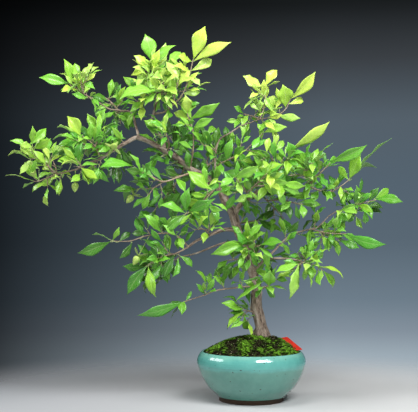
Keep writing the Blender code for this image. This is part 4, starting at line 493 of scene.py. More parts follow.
def roughLeaf(root, base, tip, width, roll, swell=0.0, bladeOnly=False):
    # the leaf's plain keeled plate, which finds it a free place among its neighbours
    length = (tip - base).length
    axis, side, normal = leafFrame(base, tip, roll)
    rows = drawing["shortLeaf"] if length < drawing["short"] else drawing["longLeaf"]
    stations = []
    start = root
    if bladeOnly:
        start = base + axis * length * 0.14
    elif (base - root).length > 0.007:
        bend = ((base - root).normalized() + axis).normalized()
        across = (side - bend * side.dot(bend)).normalized()
        stations.append((base, 0.0007, across, across.cross(bend)))
    for along, share in rows:
        centre = base + axis * length * along + normal * length * 0.03
        stations.append((centre, width / 2 * share, side, normal))
    vertices = [start]
    for centre, reach, across, up in stations:
        vertices += [centre + across * (reach + swell) + up * swell,
                     centre - across * (reach + swell) + up * swell,
                     centre - up * (drawing["leafThickness"] + swell)]
    vertices.append(tip + axis * swell)
    faces = []
    top = len(vertices) - 1
    for k in range(3):
        after = (k + 1) % 3
        faces.append((0, 1 + k, 1 + after))
        for row in range(len(stations) - 1):
            low = 1 + row * 3
            faces.append((low + k, low + 3 + after, low + after))
            faces.append((low + k, low + 3 + k, low + 3 + after))
        faces.append((top, top - 3 + after, top - 3 + k))
    return vertices, faces


def corners(vertices):
    low = [min(v[k] for v in vertices) for k in range(3)]
    high = [max(v[k] for v in vertices) for k in range(3)]
    return low, high


def searchTree(shape):
    return BVHTree.FromPolygons([tuple(v) for v in shape[0]], shape[1])


obstacles = []


def addObstacle(owner, shape, blade=None):
    low, high = corners(shape[0])
    obstacles.append((owner, low, high, searchTree(shape), searchTree(blade) if blade else None))


def isClear(owner, shape, blade):
    # leaves of one spray may cross at their stalks but not at their blades
    low, high = corners(shape[0])
    full = searchTree(shape)
    inner = searchTree(blade)
    for other, otherLow, otherHigh, otherFull, otherBlade in obstacles:
        if any(low[k] > otherHigh[k] or high[k] < otherLow[k] for k in range(3)):
            continue
        if other == owner:
            if otherBlade and inner.overlap(otherBlade):
                return False
        elif full.overlap(otherFull):
            return False
    return True


def nearestRoot(routes, base, parentRoute):
    # the place on the twigs, clear of the wood, where a leaf's stalk starts
    best = None
    for route in routes:
        inside = [centre for centre, _ in route[1:-1]]
        inside.append(route[-1][0].lerp(route[-2][0], 0.12))
        for centre in inside:
            _, radius, apart = nearestOn(parentRoute, centre)
            if apart < radius + 0.003:
                continue
            far = (centre - base).length
            if best is None or far < best[0]:
                best = (far, centre)
    return best[1] if best else base


def settle(owner, routes, parentRoute, base, tip, width, roll, tries=drawing["tries"]):
    # turns a leaf a little more each time, until it clears every neighbour
    root = nearestRoot(routes, base, parentRoute)
    reach = tip - base
    for attempt in range(tries):
        swing = 0.06 * attempt
        spin = Matrix.Rotation(swing * math.cos(2.4 * attempt), 3, "X")
        tilt = Matrix.Rotation(0.5 * swing * math.sin(2.4 * attempt), 3, "Z")
        aim = base + tilt @ spin @ reach
        leaf = (root, base, aim, width, roll + 0.35 * swing * (-1) ** attempt)
        blade = roughLeaf(*leaf, swell=0.0004, bladeOnly=True)
        if isClear(owner, roughLeaf(*leaf, swell=0.0005), blade):
            addObstacle(owner, roughLeaf(*leaf), blade)
            return leaf
    return None


def onRoute(route, place):
    # centre, radius and direction at a share of the route
    at = place * (len(route) - 1)
    i = min(int(at), len(route) - 2)
    start, thick = route[i]
    end = route[i + 1][0]
    return start.lerp(end, at - i), thick, (end - start).normalized()


def outward(ahead, k, start):
    # square to the twig, a golden turn on from the last one
    around = Matrix.Rotation(math.radians(137.5) * k + start, 3, ahead)
    return around @ ahead.orthogonal().normalized()


def drawnLeaves(leaves):
    # leaves drawn one by one: a narrow one is a full leaf seen edge-on
    for xBase, zBase, xTip, zTip, seen, yBase, yTip in leaves:
        base = spot(xBase, yBase, zBase)
        tip = spot(xTip, yTip, zTip)
        length = (tip - base).length
        width = max(seen * cm, min(0.36 * length, 0.022))
        roll = math.acos(min(1.0, seen * cm / width)) * (1 if turns.random() < 0.5 else -1)
        yield base, tip, width, roll


def ruledLeaves(routes, count):
    # leaves along each twig, opening outward
    for route in routes:
        for k in range(count):
            centre, _, ahead = onRoute(route, 0.35 + 0.65 * (k + 0.5) / count)
            out = outward(ahead, k, turns.uniform(0, 2))
            direction = (ahead * 0.7 + out + Vector((0, 0, 0.12))).normalized()
            length = turns.uniform(*foliage["ruledLeaf"])
            base = centre + out * 0.003
            yield base, base + direction * length, 0.42 * length, turns.uniform(-0.7, 0.7)


def sideShoots(routes, count, chance):
    # thin shoots off each twig, tapering to nothing
    shoots = []
    for route in routes:
        for k in range(count):
            place = 0.12 + 0.66 * (k + chance.uniform(0.2, 0.8)) / count
            centre, thick, ahead = onRoute(route, place)
            out = outward(ahead, k, chance.uniform(0, 6.28))
            way = (ahead * 0.5 + out + Vector((0, 0, 0.15))).normalized()
            bend = Vector([chance.uniform(-0.25, 0.25) for _ in range(3)])
            length = chance.uniform(*foliage["shootLength"])
            middle = centre + way * length * 0.5
            end = middle + (way + bend).normalized() * length * 0.5
            thin = min(drawing["twigEnd"], thick * drawing["thinner"])
            shoots.append([(centre, thin), (middle, thin * 0.85), (end, thin * 0.6)])
    return shoots


def fillingLeaves(shoot, chance):
    # small leaves round a shoot and one at its end
    (start, _), (middle, _), (end, _) = shoot
    ahead = (end - middle).normalized()
    for k, centre in enumerate((start.lerp(middle, 0.6), middle, middle.lerp(end, 0.6), end)):
        out = outward(ahead, k, chance.uniform(0, 2))
        lean = 1.0 if k < 3 else 0.25
        way = (ahead * 0.8 + out * lean + Vector((0, 0, 0.1))).normalized()
        length = chance.uniform(*foliage["smallLeaf"])
        base = centre + way * 0.0025
        yield base, base + way * length, chance.uniform(0.30, 0.44) * length, chance.uniform(-1.0, 1.0)


def insideBox(points):
    low = cadBox[0] - potAxis
    high = cadBox[1] - potAxis
    room = foliage["room"]
    return all(low[k] - room < p[k] < high[k] + room for p in points for k in range(3))


def keepFruitsInView():
    # later leaves stay out of a short tunnel in front of each fruit
    gap = foliage["fruitGap"]
    for name, (_, calyx, _) in fruits.items():
        crown = spot(*calyx)
        tunnel = [(crown + Vector((0, y, gap * 0.2)), gap) for y in (-0.035, 0.006)]
        addObstacle(name, plainTube(tunnel, 10))


def growPlant():
    woodRoutes = {name: [(spot(x, y, z), r * cm) for x, y, z, r in points]
                  for name, (_, points) in wood.items()}
    for name, route in woodRoutes.items():
        sides = drawing["trunkSides"] if name == "trunk" else drawing["branchSides"]
        addObstacle(name, plainTube(route, sides))
    grown = {}
    for name, (parent, twigs, _, _) in sprays.items():
        grown[name] = [twigRoute(twig, woodRoutes[parent]) for twig in twigs]
        for route in grown[name]:
            addObstacle(name, plainTube(route, drawing["twigSides"], 0.0004))
    for name in fruits:
        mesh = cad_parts[name].data
        points = [v.co - potAxis for v in mesh.vertices]
        addObstacle(name, (points, [tuple(f.vertices) for f in mesh.polygons]))
    leaves = {name: [] for name in sprays}
    for stage in ("drawn", "ruled"):
        if stage == "ruled":
            keepFruitsInView()
        for name, (parent, twigs, drawn, count) in sprays.items():
            wanted = drawnLeaves(drawn) if stage == "drawn" else ruledLeaves(grown[name], count)
            settled = [settle(name, grown[name], woodRoutes[parent], *leaf) for leaf in wanted]
            leaves[name] += [leaf for leaf in settled if leaf]
    chance = random.Random(foliage["seed"])
    shoots = [(name, parent, sideShoots(grown[name], foliage["shoots"], chance))
              for name, (parent, _, _, _) in sprays.items()]
    spurChance = random.Random(foliage["spurSeed"])
    for name, count in foliage["spurs"]:
        parent = sprays[name][0]
        shoots.append((name, parent, sideShoots([woodRoutes[parent]], count, spurChance)))
    for name, parent, some in shoots:
        for shoot in some:
            settled = [settle(name, [shoot], woodRoutes[parent], *leaf, foliage["smallTries"])
                       for leaf in fillingLeaves(shoot, chance) if insideBox(leaf[:2])]
            kept = [leaf for leaf in settled if leaf]
            leaves[name] += kept
            if kept:
                grown[name].append(shoot)
    return woodRoutes, grown, leaves


def newPiece(name, vertices, faces, replaced, looks=(), smooth=True):
    mesh = bpy.data.meshes.new(name)
    mesh.from_pydata([tuple(v + potAxis) for v in vertices], [], faces)
    piece = bpy.data.objects.new(name, mesh)
    bpy.context.scene.collection.objects.link(piece)
    if smooth:
        mesh.shade_smooth()
    for look in looks:
        mesh.materials.append(look)
    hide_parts(*replaced)
    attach(piece, "root")
    return piece


def paint(piece, name, values):
    # one vector or colour a vertex, which the material reads by name
    attribute = piece.data.attributes.new(name, "FLOAT_VECTOR", "POINT")
    attribute.data.foreach_set("vector", [part for value in values for part in value])


def gather(parts):
    # several shapes as one, each with its values a vertex
    vertices = []
    faces = []
    values = []
    for points, polygons, given in parts:
        base = len(vertices)
        vertices += points
        faces += [tuple(base + k for k in polygon) for polygon in polygons]
        values += given
    return vertices, faces, values


def sheetFaces(rows, columns):
    # upper faces, and lower faces with the rim, of two skins of points
    wide = columns + 1
    count = (rows + 1) * wide
    cells = [i * wide + j for i in range(rows) for j in range(columns)]
    upper = [(a, a + 1, a + wide + 1, a + wide) for a in cells]
    under = [(count + a, count + a + wide, count + a + wide + 1, count + a + 1) for a in cells]
    rim = list(range(wide)) + [i * wide + columns for i in range(1, rows + 1)]
    rim += [rows * wide + j for j in range(columns - 1, -1, -1)]
    rim += [i * wide for i in range(rows - 1, 0, -1)]
    under += [(a, count + a, count + b, b) for a, b in zip(rim, rim[1:] + rim[:1])]
    return upper, under


def applyAll(piece):
    bpy.context.view_layer.update()
    shaped = piece.evaluated_get(bpy.context.evaluated_depsgraph_get())
    mesh = bpy.data.meshes.new_from_object(shaped)
    piece.modifiers.clear()
    piece.data = mesh


def faceOutward(piece):
    shape = bmesh.new()
    shape.from_mesh(piece.data)
    bmesh.ops.recalc_face_normals(shape, faces=shape.faces)
    shape.to_mesh(piece.data)
    shape.free()


def newMaterial(name, roughness, **settings):
    made = bpy.data.materials.new(name)
    made.use_nodes = True
    shader = made.node_tree.nodes["Principled BSDF"]
    shader.inputs["Roughness"].default_value = roughness
    for socket, value in settings.items():
        shader.inputs[socket.replace("_", " ")].default_value = value
    return made, made.node_tree, shader


def addNode(tree, kind, **settings):
    node = tree.nodes.new("ShaderNode" + kind)
    for name, value in settings.items():
        setattr(node, name, value)
    return node


def feed(tree, socket, value):
    # a number or colour set on the socket itself, or a link into it
    if isinstance(value, bpy.types.NodeSocket):
        tree.links.new(value, socket)
    elif isinstance(value, tuple):
        socket.default_value = (*value, 1)
    else:
        socket.default_value = value


def ramp(tree, source, stops):
    node = addNode(tree, "ValToRGB")
    elements = node.color_ramp.elements
    while len(elements) < len(stops):
        elements.new(0.5)
    for element, (place, colour) in zip(elements, stops):
        element.position = place
        element.color = (*colour, 1)
    feed(tree, node.inputs["Fac"], source)
    return node.outputs["Color"]


def mask(tree, source, white, black):
    return ramp(tree, source, [(white, (1, 1, 1)), (black, (0, 0, 0))])


def grainNoise(tree, source, scale, detail=4.0, rough=0.6):
    node = addNode(tree, "TexNoise")
    for socket, value in (("Vector", source), ("Scale", scale), ("Detail", detail), ("Roughness", rough)):
        feed(tree, node.inputs[socket], value)
    return node.outputs["Fac"]


def blendColours(tree, kind, share, first, second):
    node = addNode(tree, "Mix", data_type="RGBA", blend_type=kind)
    feed(tree, node.inputs["Factor"], share)
    colours = [s for s in node.inputs if s.type == "RGBA"]
    feed(tree, colours[0], first)
    feed(tree, colours[1], second)
    return [s for s in node.outputs if s.type == "RGBA"][0]


def coat(tree, shader, colour, height, strength, distance):
    feed(tree, shader.inputs["Base Color"], colour)
    node = addNode(tree, "Bump")
    for socket, value in (("Strength", strength), ("Distance", distance), ("Height", height)):
        feed(tree, node.inputs[socket], value)
    feed(tree, shader.inputs["Normal"], node.outputs["Normal"])


def objectPlace(tree):
    return addNode(tree, "TexCoord").outputs["Object"]


def readAttribute(tree, name):
    return addNode(tree, "Attribute", attribute_name=name).outputs["Vector"]


def axes(tree, source):
    node = addNode(tree, "SeparateXYZ")
    feed(tree, node.inputs["Vector"], source)
    return node.outputs


def mathNode(tree, kind, *values):
    node = addNode(tree, "Math", operation=kind)
    for socket, value in zip(node.inputs, values):
        feed(tree, socket, value)
    return node.outputs["Value"]


def times(tree, first, second):
    return mathNode(tree, "MULTIPLY", first, second)


def mapRange(tree, source, kind, *limits):
    node = addNode(tree, "MapRange", interpolation_type=kind)
    for socket, value in zip(("Value", "From Min", "From Max", "To Min", "To Max"), (source, *limits)):
        feed(tree, node.inputs[socket], value)
    return node.outputs["Result"]


bark = {
    "ringStep": 14,  # rings between two drawn points
    "sides": 20,
    "knots": 0.14,
    "flare": 0.28,  # how much a branch widens where it leaves the trunk
    "voxel": 0.0011,  # the finest detail of the one skin over all the wood
    "relief": 0.0009,
    "sameLimb": 0.012,
    "old": [(0.36, (0.075, 0.05, 0.035)), (0.46, (0.27, 0.20, 0.15)), (0.62, (0.42, 0.35, 0.29)),
            (0.75, (0.52, 0.46, 0.40))],
    "young": [(0.35, (0.20, 0.14, 0.09)), (0.52, (0.36, 0.27, 0.19)), (0.68, (0.52, 0.46, 0.38))],
    "fissures": [(0.33, (0.35, 0.30, 0.27)), (0.55, (1, 1, 1))],
    "hollow": (0.9, -1.1, 13.2),  # middle of the painted shade of a hollow, low on the left
    # near-black painted shade where a hollow would be; the wood has no hollow cut in it
    "hollowShade": (0.03, 0.016, 0.012),
    "rootFoot": (1.9, 0, 12.4),
    "roots": [(20, 0.020, 0.0075), (95, 0.017, 0.0065), (165, 0.021, 0.0080), (235, 0.018, 0.0070),
              (300, 0.020, 0.0065)],  # turn, reach and radius of the surface roots
    "rootLine": [(0.0, 0.016, 1.0), (0.4, 0.002, 0.8), (0.75, -0.007, 0.55), (1.0, -0.016, 0.3)],
    "budSwell": 1.22,
}


def barkMaterial(name, young):
    made, tree, shader = newMaterial(name, 0.78)
    place = readAttribute(tree, "grain")
    patches = grainNoise(tree, place, 150.0, 5.0, 0.65)
    streaks = grainNoise(tree, place, 650.0, 6.0, 0.7)
    colour = ramp(tree, patches, bark["young"] if young else bark["old"])
    if not young:
        # painted shade: a near-black patch low on the left stands for a hollow's shade
        reach = addNode(tree, "VectorMath", operation="DISTANCE")
        feed(tree, reach.inputs[0], objectPlace(tree))
        reach.inputs[1].default_value = spot(*bark["hollow"])
        inside = mask(tree, times(tree, reach.outputs["Value"], 20.0), 0.14, 0.30)
        colour = blendColours(tree, "MIX", times(tree, inside, 0.85), colour, bark["hollowShade"])
    shade = blendColours(tree, "MULTIPLY", 0.75, colour, ramp(tree, streaks, bark["fissures"]))
    coat(tree, shader, shade, streaks, 0.6, 0.0012)
    return made


def blendedGrain(grain, near):
    # smooth between the nearest points of one limb, never across two limbs
    first = Vector(grain[near[0][1]])
    total = Vector()
    weight = 0.0
    for _, i, far in near:
        place = Vector(grain[i])
        if (place - first).length < bark["sameLimb"]:
            share = 1 / (far + 1e-4) ** 2
            total += place * share
            weight += share
    return tuple(total / weight)


def makeWood():
    parts = []
    for count, (parent, points) in enumerate(wood.values()):
        fine = smoothRoute(points, bark["ringStep"])
        route = [(spot(x, y, z), r * cm) for x, y, z, r in fine]
        if parent == "trunk":
            route = [(centre, radius * (1 + bark["flare"] * math.exp(-2 * i / bark["ringStep"])))
                     for i, (centre, radius) in enumerate(route)]
        parts.append(limb(route, bark["sides"], bark["knots"], count * 1.7))
    foot = spot(*bark["rootFoot"])
    for count, (degrees, reach, thick) in enumerate(bark["roots"]):
        way = Vector((math.cos(math.radians(degrees)), math.sin(math.radians(degrees)), 0))
        stations = [(foot + way * reach * along + Vector((0, 0, rise)), thick * share)
                    for along, rise, share in bark["rootLine"]]
        parts.append(limb(smoothLimb(stations, 5), 12, 0.2, 9 + count))
    vertices, faces, grain = gather(parts)
    wooden = newPiece("trunk_and_branches", vertices, faces, list(wood))
    finder = KDTree(len(vertices))
    for i, v in enumerate(vertices):
        finder.insert(v + potAxis, i)
    finder.balance()
    remesh = wooden.modifiers.new("one skin", "REMESH")
    remesh.mode = "VOXEL"
    remesh.voxel_size = bark["voxel"]
    remesh.use_smooth_shade = True
    wooden.modifiers.new("soften", "SMOOTH").iterations = 4
    applyAll(wooden)
    seen = [blendedGrain(grain, finder.find_n(v.co, 6)) for v in wooden.data.vertices]
    normals = [v.normal.copy() for v in wooden.data.vertices]
    for v, normal, (x, y, z) in zip(wooden.data.vertices, normals, seen):
        rough = noise.fractal(Vector((x * 260, y * 260, z * 150)), 0.7, 2.1, 4)
        size = min(1.0, math.hypot(x, y) / 0.008)  # thin wood is smoother
        v.co += normal * rough * bark["relief"] * size
    paint(wooden, "grain", seen)
    wooden.data.materials.append(barkMaterial("old bark", False))


def makeTwigs(name, routes, look):
    # young shoots with a small bump at each bud
    parts = []
    step = 5
    for count, route in enumerate(routes):
        fine = smoothLimb(route, step)
        shoot = [(centre, radius * (bark["budSwell"] if i % step == 0 and 0 < i < len(fine) - 1 else 1.0))
                 for i, (centre, radius) in enumerate(fine)]
        end, radius = shoot[-1]
        ahead = (end - shoot[-2][0]).normalized()
        shoot.append((end + ahead * radius * 1.5, radius * 0.5))
        parts.append(limb(shoot, 9, 0.10, count * 2.3))
    vertices, faces, grain = gather(parts)
    paint(newPiece(name + "_twigs", vertices, faces, [name], [look]), "grain", grain)


foliage = {
    "seed": 23,
    "spurSeed": 24,
    "bladeSeed": 31,
    "shoots": 4,  # thin side shoots on each twig, which fill the crown out
    "shootLength": (0.012, 0.026),
    "spurs": (("leader_back_spray", 16), ("arm_back_spray", 12), ("canopy_back_spray", 8),
              ("far_right_spray", 5)),  # short leafy spurs along the wood itself
    "ruledLeaf": (0.030, 0.046),
    "smallLeaf": (0.021, 0.039),
    "smallTries": 10,
    "fruitGap": 0.016,  # bare room round a fruit and its calyx
    "room": 0.004,  # how far a leaf may pass the plain model's box
    "rows": 12,
    "columns": 6,
    "thickness": 0.00036,
    # least and most of each bend of a blade
    "bow": (0.0, 0.08),
    "fold": (0.08, 0.65),
    "arch": (0.0, 0.3),
    "curl": (0.0, 0.20),
    "wave": (0.04, 0.12),
    "beats": (1.6, 3.2),
    "sway": (-0.07, 0.07),
    "twist": (-0.7, 0.7),
    "outline": [(0, 0.05), (0.1, 0.16), (0.22, 0.42), (0.36, 0.76), (0.5, 0.97), (0.58, 1.0), (0.68, 0.92),
                (0.78, 0.68), (0.86, 0.38), (0.92, 0.19), (0.97, 0.09), (1, 0.02)],
    "shades": [(0.0, (0.032, 0.115, 0.010)), (0.25, (0.10, 0.37, 0.026)), (0.5, (0.24, 0.52, 0.045)),
               (0.8, (0.47, 0.68, 0.12))],  # from painted shade deep inside to the crown's pale young leaves in painted light
    "stalk": (0.28, 0.36, 0.09),
    "vein": (0.55, 0.66, 0.30),
    "underside": (0.36, 0.46, 0.24),
    "mottle": [(0.3, (0.80, 0.84, 0.78)), (0.7, (1.12, 1.08, 1.05))],
}


def halfWidth(s):
    outline = foliage["outline"]
    for (a, low), (b, high) in zip(outline, outline[1:]):
        if s <= b:
            t = (s - a) / (b - a)
            return low + (high - low) * (t * t * (3 - 2 * t) * 0.4 + t * 0.6)
    return 0.0


def mixColours(first, second, share):
    return tuple(a + (b - a) * share for a, b in zip(first, second))


def leafColour(centre, chance):
    # young leaves at the crown and the long arm's tip are palest, their own paleness lifted by painted
    # light; leaves towards the back and inside get painted shade, and those at the front and to the right
    # painted light
    x, y, z = centre / cm
    # painted light and shade by place: paler higher up, at the front and to the right, darker towards the
    # back
    paintedLightAndYouth = clamp((z - 44) / 16)
    paintedLightAndYouth = max(paintedLightAndYouth, 0.75 * clamp((-x - 26) / 12) * (1 if z > 36 else 0.3))
    paintedLightAndYouth *= 1 - clamp((y - 1) / 9) * 0.7
    light = 0.60 * paintedLightAndYouth + 0.26 * clamp((3 - y) / 10) + 0.20 * clamp((x + 14) / 14)
    light = clamp(light + chance.uniform(-0.24, 0.24))
    for (low, dark), (high, pale) in zip(foliage["shades"], foliage["shades"][1:]):
        if light >= low:
            colour = mixColours(dark, pale, min(1.0, (light - low) / (high - low)))
    blue = chance.uniform(-1, 1)
    return (colour[0] * (1 - 0.12 * blue), colour[1], colour[2] * (1 + 0.25 * blue))


def fineLeaf(leaf, chance):
    # a folded, arched blade with a wavy margin, on a thin stalk; upper and lower skins and a rim
    root, base, tip, width, roll = leaf
    rows = foliage["rows"]
    columns = foliage["columns"]
    axis, side, normal = leafFrame(base, tip, roll)
    length = (tip - base).length
    bow = chance.uniform(*foliage["bow"])
    fold = chance.uniform(*foliage["fold"])
    arch = chance.uniform(*foliage["arch"])
    curl = chance.uniform(*foliage["curl"])
    wave = chance.uniform(*foliage["wave"])
    beats = chance.uniform(*foliage["beats"])
    phase = chance.uniform(0, 6.28)
    sway = chance.uniform(*foliage["sway"])
    twist = chance.uniform(*foliage["twist"])
    colour = leafColour(base.lerp(tip, 0.5), chance)
    upper = []
    marks = []
    for i in range(rows + 1):
        s = i / rows
        centre = base + axis * length * s
        centre += normal * length * (bow * 4 * s * (1 - s) - curl * (6.25 * max(0.0, s - 0.6) ** 2 - s))
        centre += side * length * sway * math.sin(math.pi * s)
        half = halfWidth(s) * width / 2
        angle = twist * (s - 0.35)
        across = side * math.cos(angle) + normal * math.sin(angle)
        up = normal * math.cos(angle) - side * math.sin(angle)
        for j in range(columns + 1):
            v = 2 * j / columns - 1
            ripple = math.sin(beats * 6.28 * s + phase + (1.2 if v > 0 else 0))
            rise = half * (fold * abs(v) - arch * v * v)
            rise += half * 2 * wave * abs(v) ** 1.6 * ripple
            rise -= 0.00022 * math.exp(-(v * 5) ** 2) * (1 - s)  # the midrib's groove
            upper.append(centre + across * v * half + up * rise)
            marks.append((s, v, half))
    wide = columns + 1
    lower = []
    for i in range(rows + 1):
        for j in range(wide):
            along = upper[min(i + 1, rows) * wide + j] - upper[max(i - 1, 0) * wide + j]
            across = upper[i * wide + min(j + 1, columns)] - upper[i * wide + max(j - 1, 0)]
            lower.append(upper[i * wide + j] - across.cross(along).normalized() * foliage["thickness"])
    faces, under = sheetFaces(rows, columns)
    bend = root.lerp(base, 0.55) + Vector((0, 0, -0.0012)) * min(1.0, (base - root).length / 0.01)
    stalk = smoothLimb([(root, 0.00085), (bend, 0.0006), (base, 0.00052),
                        (base + axis * length * 0.10, 0.0003)], 3)
    stalkPoints, stalkFaces, _ = limb(stalk, 6)
    offset = 2 * len(upper)
    vertices = upper + lower + stalkPoints
    tints = [colour] * offset + [foliage["stalk"]] * len(stalkPoints)
    marks = marks + marks + [(0.0, 0.0, 0.001)] * len(stalkPoints)
    under += [tuple(offset + k for k in face) for face in stalkFaces]
    return vertices, faces, under, tints, marks


def leafMaterial(name, underside):
    made, tree, shader = newMaterial(name, 0.62 if underside else 0.36,
                                     Specular_IOR_Level=0.3 if underside else 0.55)
    along, aside, _ = axes(tree, readAttribute(tree, "leafMarks"))
    across = mathNode(tree, "ABSOLUTE", aside)
    slant = mathNode(tree, "SUBTRACT", times(tree, along, 9.0), times(tree, across, 2.1))
    wave = mathNode(tree, "PINGPONG", slant, 0.5)
    side = mathNode(tree, "MAXIMUM", mathNode(tree, "SUBTRACT", 1.0, times(tree, wave, 7.0)), 0.0)
    middle = mathNode(tree, "SUBTRACT", 1.0, times(tree, across, 11.0))
    veins = mathNode(tree, "MAXIMUM", times(tree, side, 0.55), middle)
    shade = ramp(tree, grainNoise(tree, objectPlace(tree), 260.0, 3.0), foliage["mottle"])
    colour = blendColours(tree, "MULTIPLY", 1.0, readAttribute(tree, "leafTint"), shade)
    pale = blendColours(tree, "MIX", 0.35, colour, foliage["vein"])
    veined = blendColours(tree, "MIX", times(tree, veins, 0.8), colour, pale)
    if underside:
        veined = blendColours(tree, "MIX", 0.28, veined, foliage["underside"])
    coat(tree, shader, veined, veins, 0.35 if underside else -0.30, 0.0004)
    return made


def makeLeaves(name, leaves, looks, chance):
    vertices, faces, kinds, tints, marks = [], [], [], [], []
    for leaf in leaves:
        points, upper, under, colours, places = fineLeaf(leaf, chance)
        base = len(vertices)
        vertices += points
        faces += [tuple(base + k for k in face) for face in upper + under]
        kinds += [0] * len(upper) + [1] * len(under)
        tints += colours
        marks += places
    piece = newPiece(name + "_leaves", vertices, faces, [name], looks)
    paint(piece, "leafTint", tints)
    paint(piece, "leafMarks", marks)
    piece.data.polygons.foreach_set("material_index", kinds)
    return len(faces)


glazedPot = {
    "sides": 144,
    "heel": 0.0638,  # radius where the glaze stops
    "footRing": 0.0595,
    "footWidth": 0.0090,
    "foot": 0.0095,
    "floor": 0.0058,
    "drainHole": 0.012,
    "throwingRings": 0.00012,
    # shares of the radius and the height, up the outside, over the rim and down the inside
    "outside": [(0.71, 0.185), (0.80, 0.285), (0.905, 0.47), (0.965, 0.62), (0.995, 0.74), (1, 0.79),
                (0.988, 0.87), (0.955, 0.945), (0.925, 0.985), (0.905, 1), (0.885, 0.985), (0.874, 0.945),
                (0.874, 0.86)],
    "inside": [(0.93, 0.72), (0.895, 0.60), (0.84, 0.47), (0.735, 0.30)],
    "bandsWithPaintedReflection": [(0.06, "dark"), (0.30, "body"), (0.67, "body"), (0.73, "light"), (0.90, "light"),
              (0.98, "rim")],  # the glaze's tones by height: darker towards the foot, and paler from about 0.7 up, a painted reflection of the bright surroundings above the reflected horizon
    "dark": (0.085, 0.25, 0.195),
    "body": (0.110, 0.290, 0.240),
    # light and rim: painted reflection, the paler glaze above the reflected horizon's line
    "light": (0.11, 0.365, 0.325),
    "rim": (0.16, 0.41, 0.34),
    "cloud": [(0.35, (0.84, 0.90, 0.90)), (0.65, (1.08, 1.05, 1.04))],
    "speck": (0.05, 0.04, 0.03),
    "clay": [(0.3, (0.030, 0.017, 0.010)), (0.6, (0.060, 0.035, 0.022)), (0.8, (0.14, 0.08, 0.05))],
}


def makePot():
    radius = (potHigh.x - potLow.x) / 2
    height = potHigh.z - potLow.z
    sides = glazedPot["sides"]
    foot = glazedPot["foot"]
    heel = glazedPot["heel"]
    ring = glazedPot["footRing"]
    hole = glazedPot["drainHole"]
    inward = ring - glazedPot["footWidth"]
    top = foot + glazedPot["floor"]
    outer = smoothRoute([(heel, foot)] + [(radius * r, height * z) for r, z in glazedPot["outside"]], 6)
    outer = [(r + glazedPot["throwingRings"] * math.sin(z * 1500), z) for r, z in outer]
    inner = smoothRoute([(radius * r, height * z) for r, z in glazedPot["inside"]]
                        + [(radius * 0.62, top + 0.001), (radius * 0.55, top)], 3)
    low = [(hole + 0.001, top), (hole, top - 0.001), (hole, foot * 0.8 + 0.001), (hole + 0.001, foot * 0.8),
           (inward - 0.0012, foot * 0.8), (inward - 0.0006, foot * 0.6), (inward - 0.0004, 0.0006),
           (inward, 0.0), (ring - 0.0010, 0.0), (ring - 0.0002, 0.0006), (ring, foot * 0.5),
           (ring + 0.0004, foot * 0.85), (heel - 0.0022, foot * 0.93), (heel - 0.0006, foot * 0.94)]
    profile = outer + inner + low
    vertices = []
    for r, z in profile:
        for k in range(sides):
            angle = 2 * math.pi * k / sides
            vertices.append(Vector((r * math.cos(angle), r * math.sin(angle), z)))
    faces = ringFaces(len(profile), sides, closed=True)
    piece = newPiece("glazed_pot", vertices, faces, ["pot"], [glazeMaterial(), clayMaterial()])
    bare = range(len(outer) + len(inner) + 2, len(profile) - 2)  # the unglazed rings of the foot
    kinds = [1 if i // sides in bare else 0 for i in range(len(faces))]
    piece.data.polygons.foreach_set("material_index", kinds)
    faceOutward(piece)


def glazeMaterial():
    made, tree, shader = newMaterial("turquoise glaze", 0.14, Coat_Weight=0.35, Coat_Roughness=0.06)
    place = objectPlace(tree)
    height = mathNode(tree, "DIVIDE", axes(tree, place)["Z"], potHigh.z)
    drift = times(tree, grainNoise(tree, place, 22.0, 4.0), 0.16)
    level = mathNode(tree, "ADD", height, mathNode(tree, "SUBTRACT", drift, 0.08))
    # painted reflection: the glaze turns paler above about 0.7 of the height; it is also darker towards the
    # foot
    colour = ramp(tree, level, [(share, glazedPot[name]) for share, name in glazedPot["bandsWithPaintedReflection"]])
    cloud = ramp(tree, grainNoise(tree, place, 60.0, 6.0, 0.65), glazedPot["cloud"])
    colour = blendColours(tree, "MULTIPLY", 0.8, colour, cloud)
    specks = mask(tree, grainNoise(tree, place, 230.0, 0.0), 0.165, 0.20)
    colour = blendColours(tree, "MIX", times(tree, specks, 0.8), colour, glazedPot["speck"])
    coat(tree, shader, colour, grainNoise(tree, place, 90.0, 3.0), 0.12, 0.001)
    return made


def clayMaterial():
    made, tree, shader = newMaterial("bare brown clay", 0.85)
    grit = grainNoise(tree, objectPlace(tree), 500.0, 6.0, 0.7)
    coat(tree, shader, ramp(tree, grit, glazedPot["clay"]), grit, 0.5, 0.0006)
    return made


mossLow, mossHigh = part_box("moss")

mossBed = {
    "seed": 5,
    "edge": (mossHigh.x - mossLow.x) / 2 - 0.0004,
    "low": mossLow.z + 0.0062,
    "high": mossHigh.z + 0.002,
    "peak": 0.019,  # how far the top of the mound stands off the pot's axis, round the trunk
    "trunkFoot": (1.9, 0, 12),
    "trunkRoom": 0.015,
    "rings": 34,
    "spokes": 150,
    "lumps": 0.0016,
    "clumps": 2300,
    "bareClump": (0.0007, 0.0016),
    "greenClump": (0.0010, 0.0040),
    "blades": 9000,
    "bladeHeight": (0.0022, 0.0048),
    "crumbs": 300,
    "crumbSize": (0.0004, 0.0010),
    # dark: near-black painted shade at the foot of every clump and blade
    "dark": (0.006, 0.009, 0.005),
    "olive": (0.030, 0.048, 0.012),
    "bright": (0.14, 0.31, 0.030),
    "pale": (0.40, 0.46, 0.10),
    "soil": (0.030, 0.017, 0.018),
    "crumb": (0.30, 0.28, 0.22),
    "fleck": [(0.40, (0.22, 0.22, 0.20)), (0.60, (1.5, 1.6, 1.2))],
}


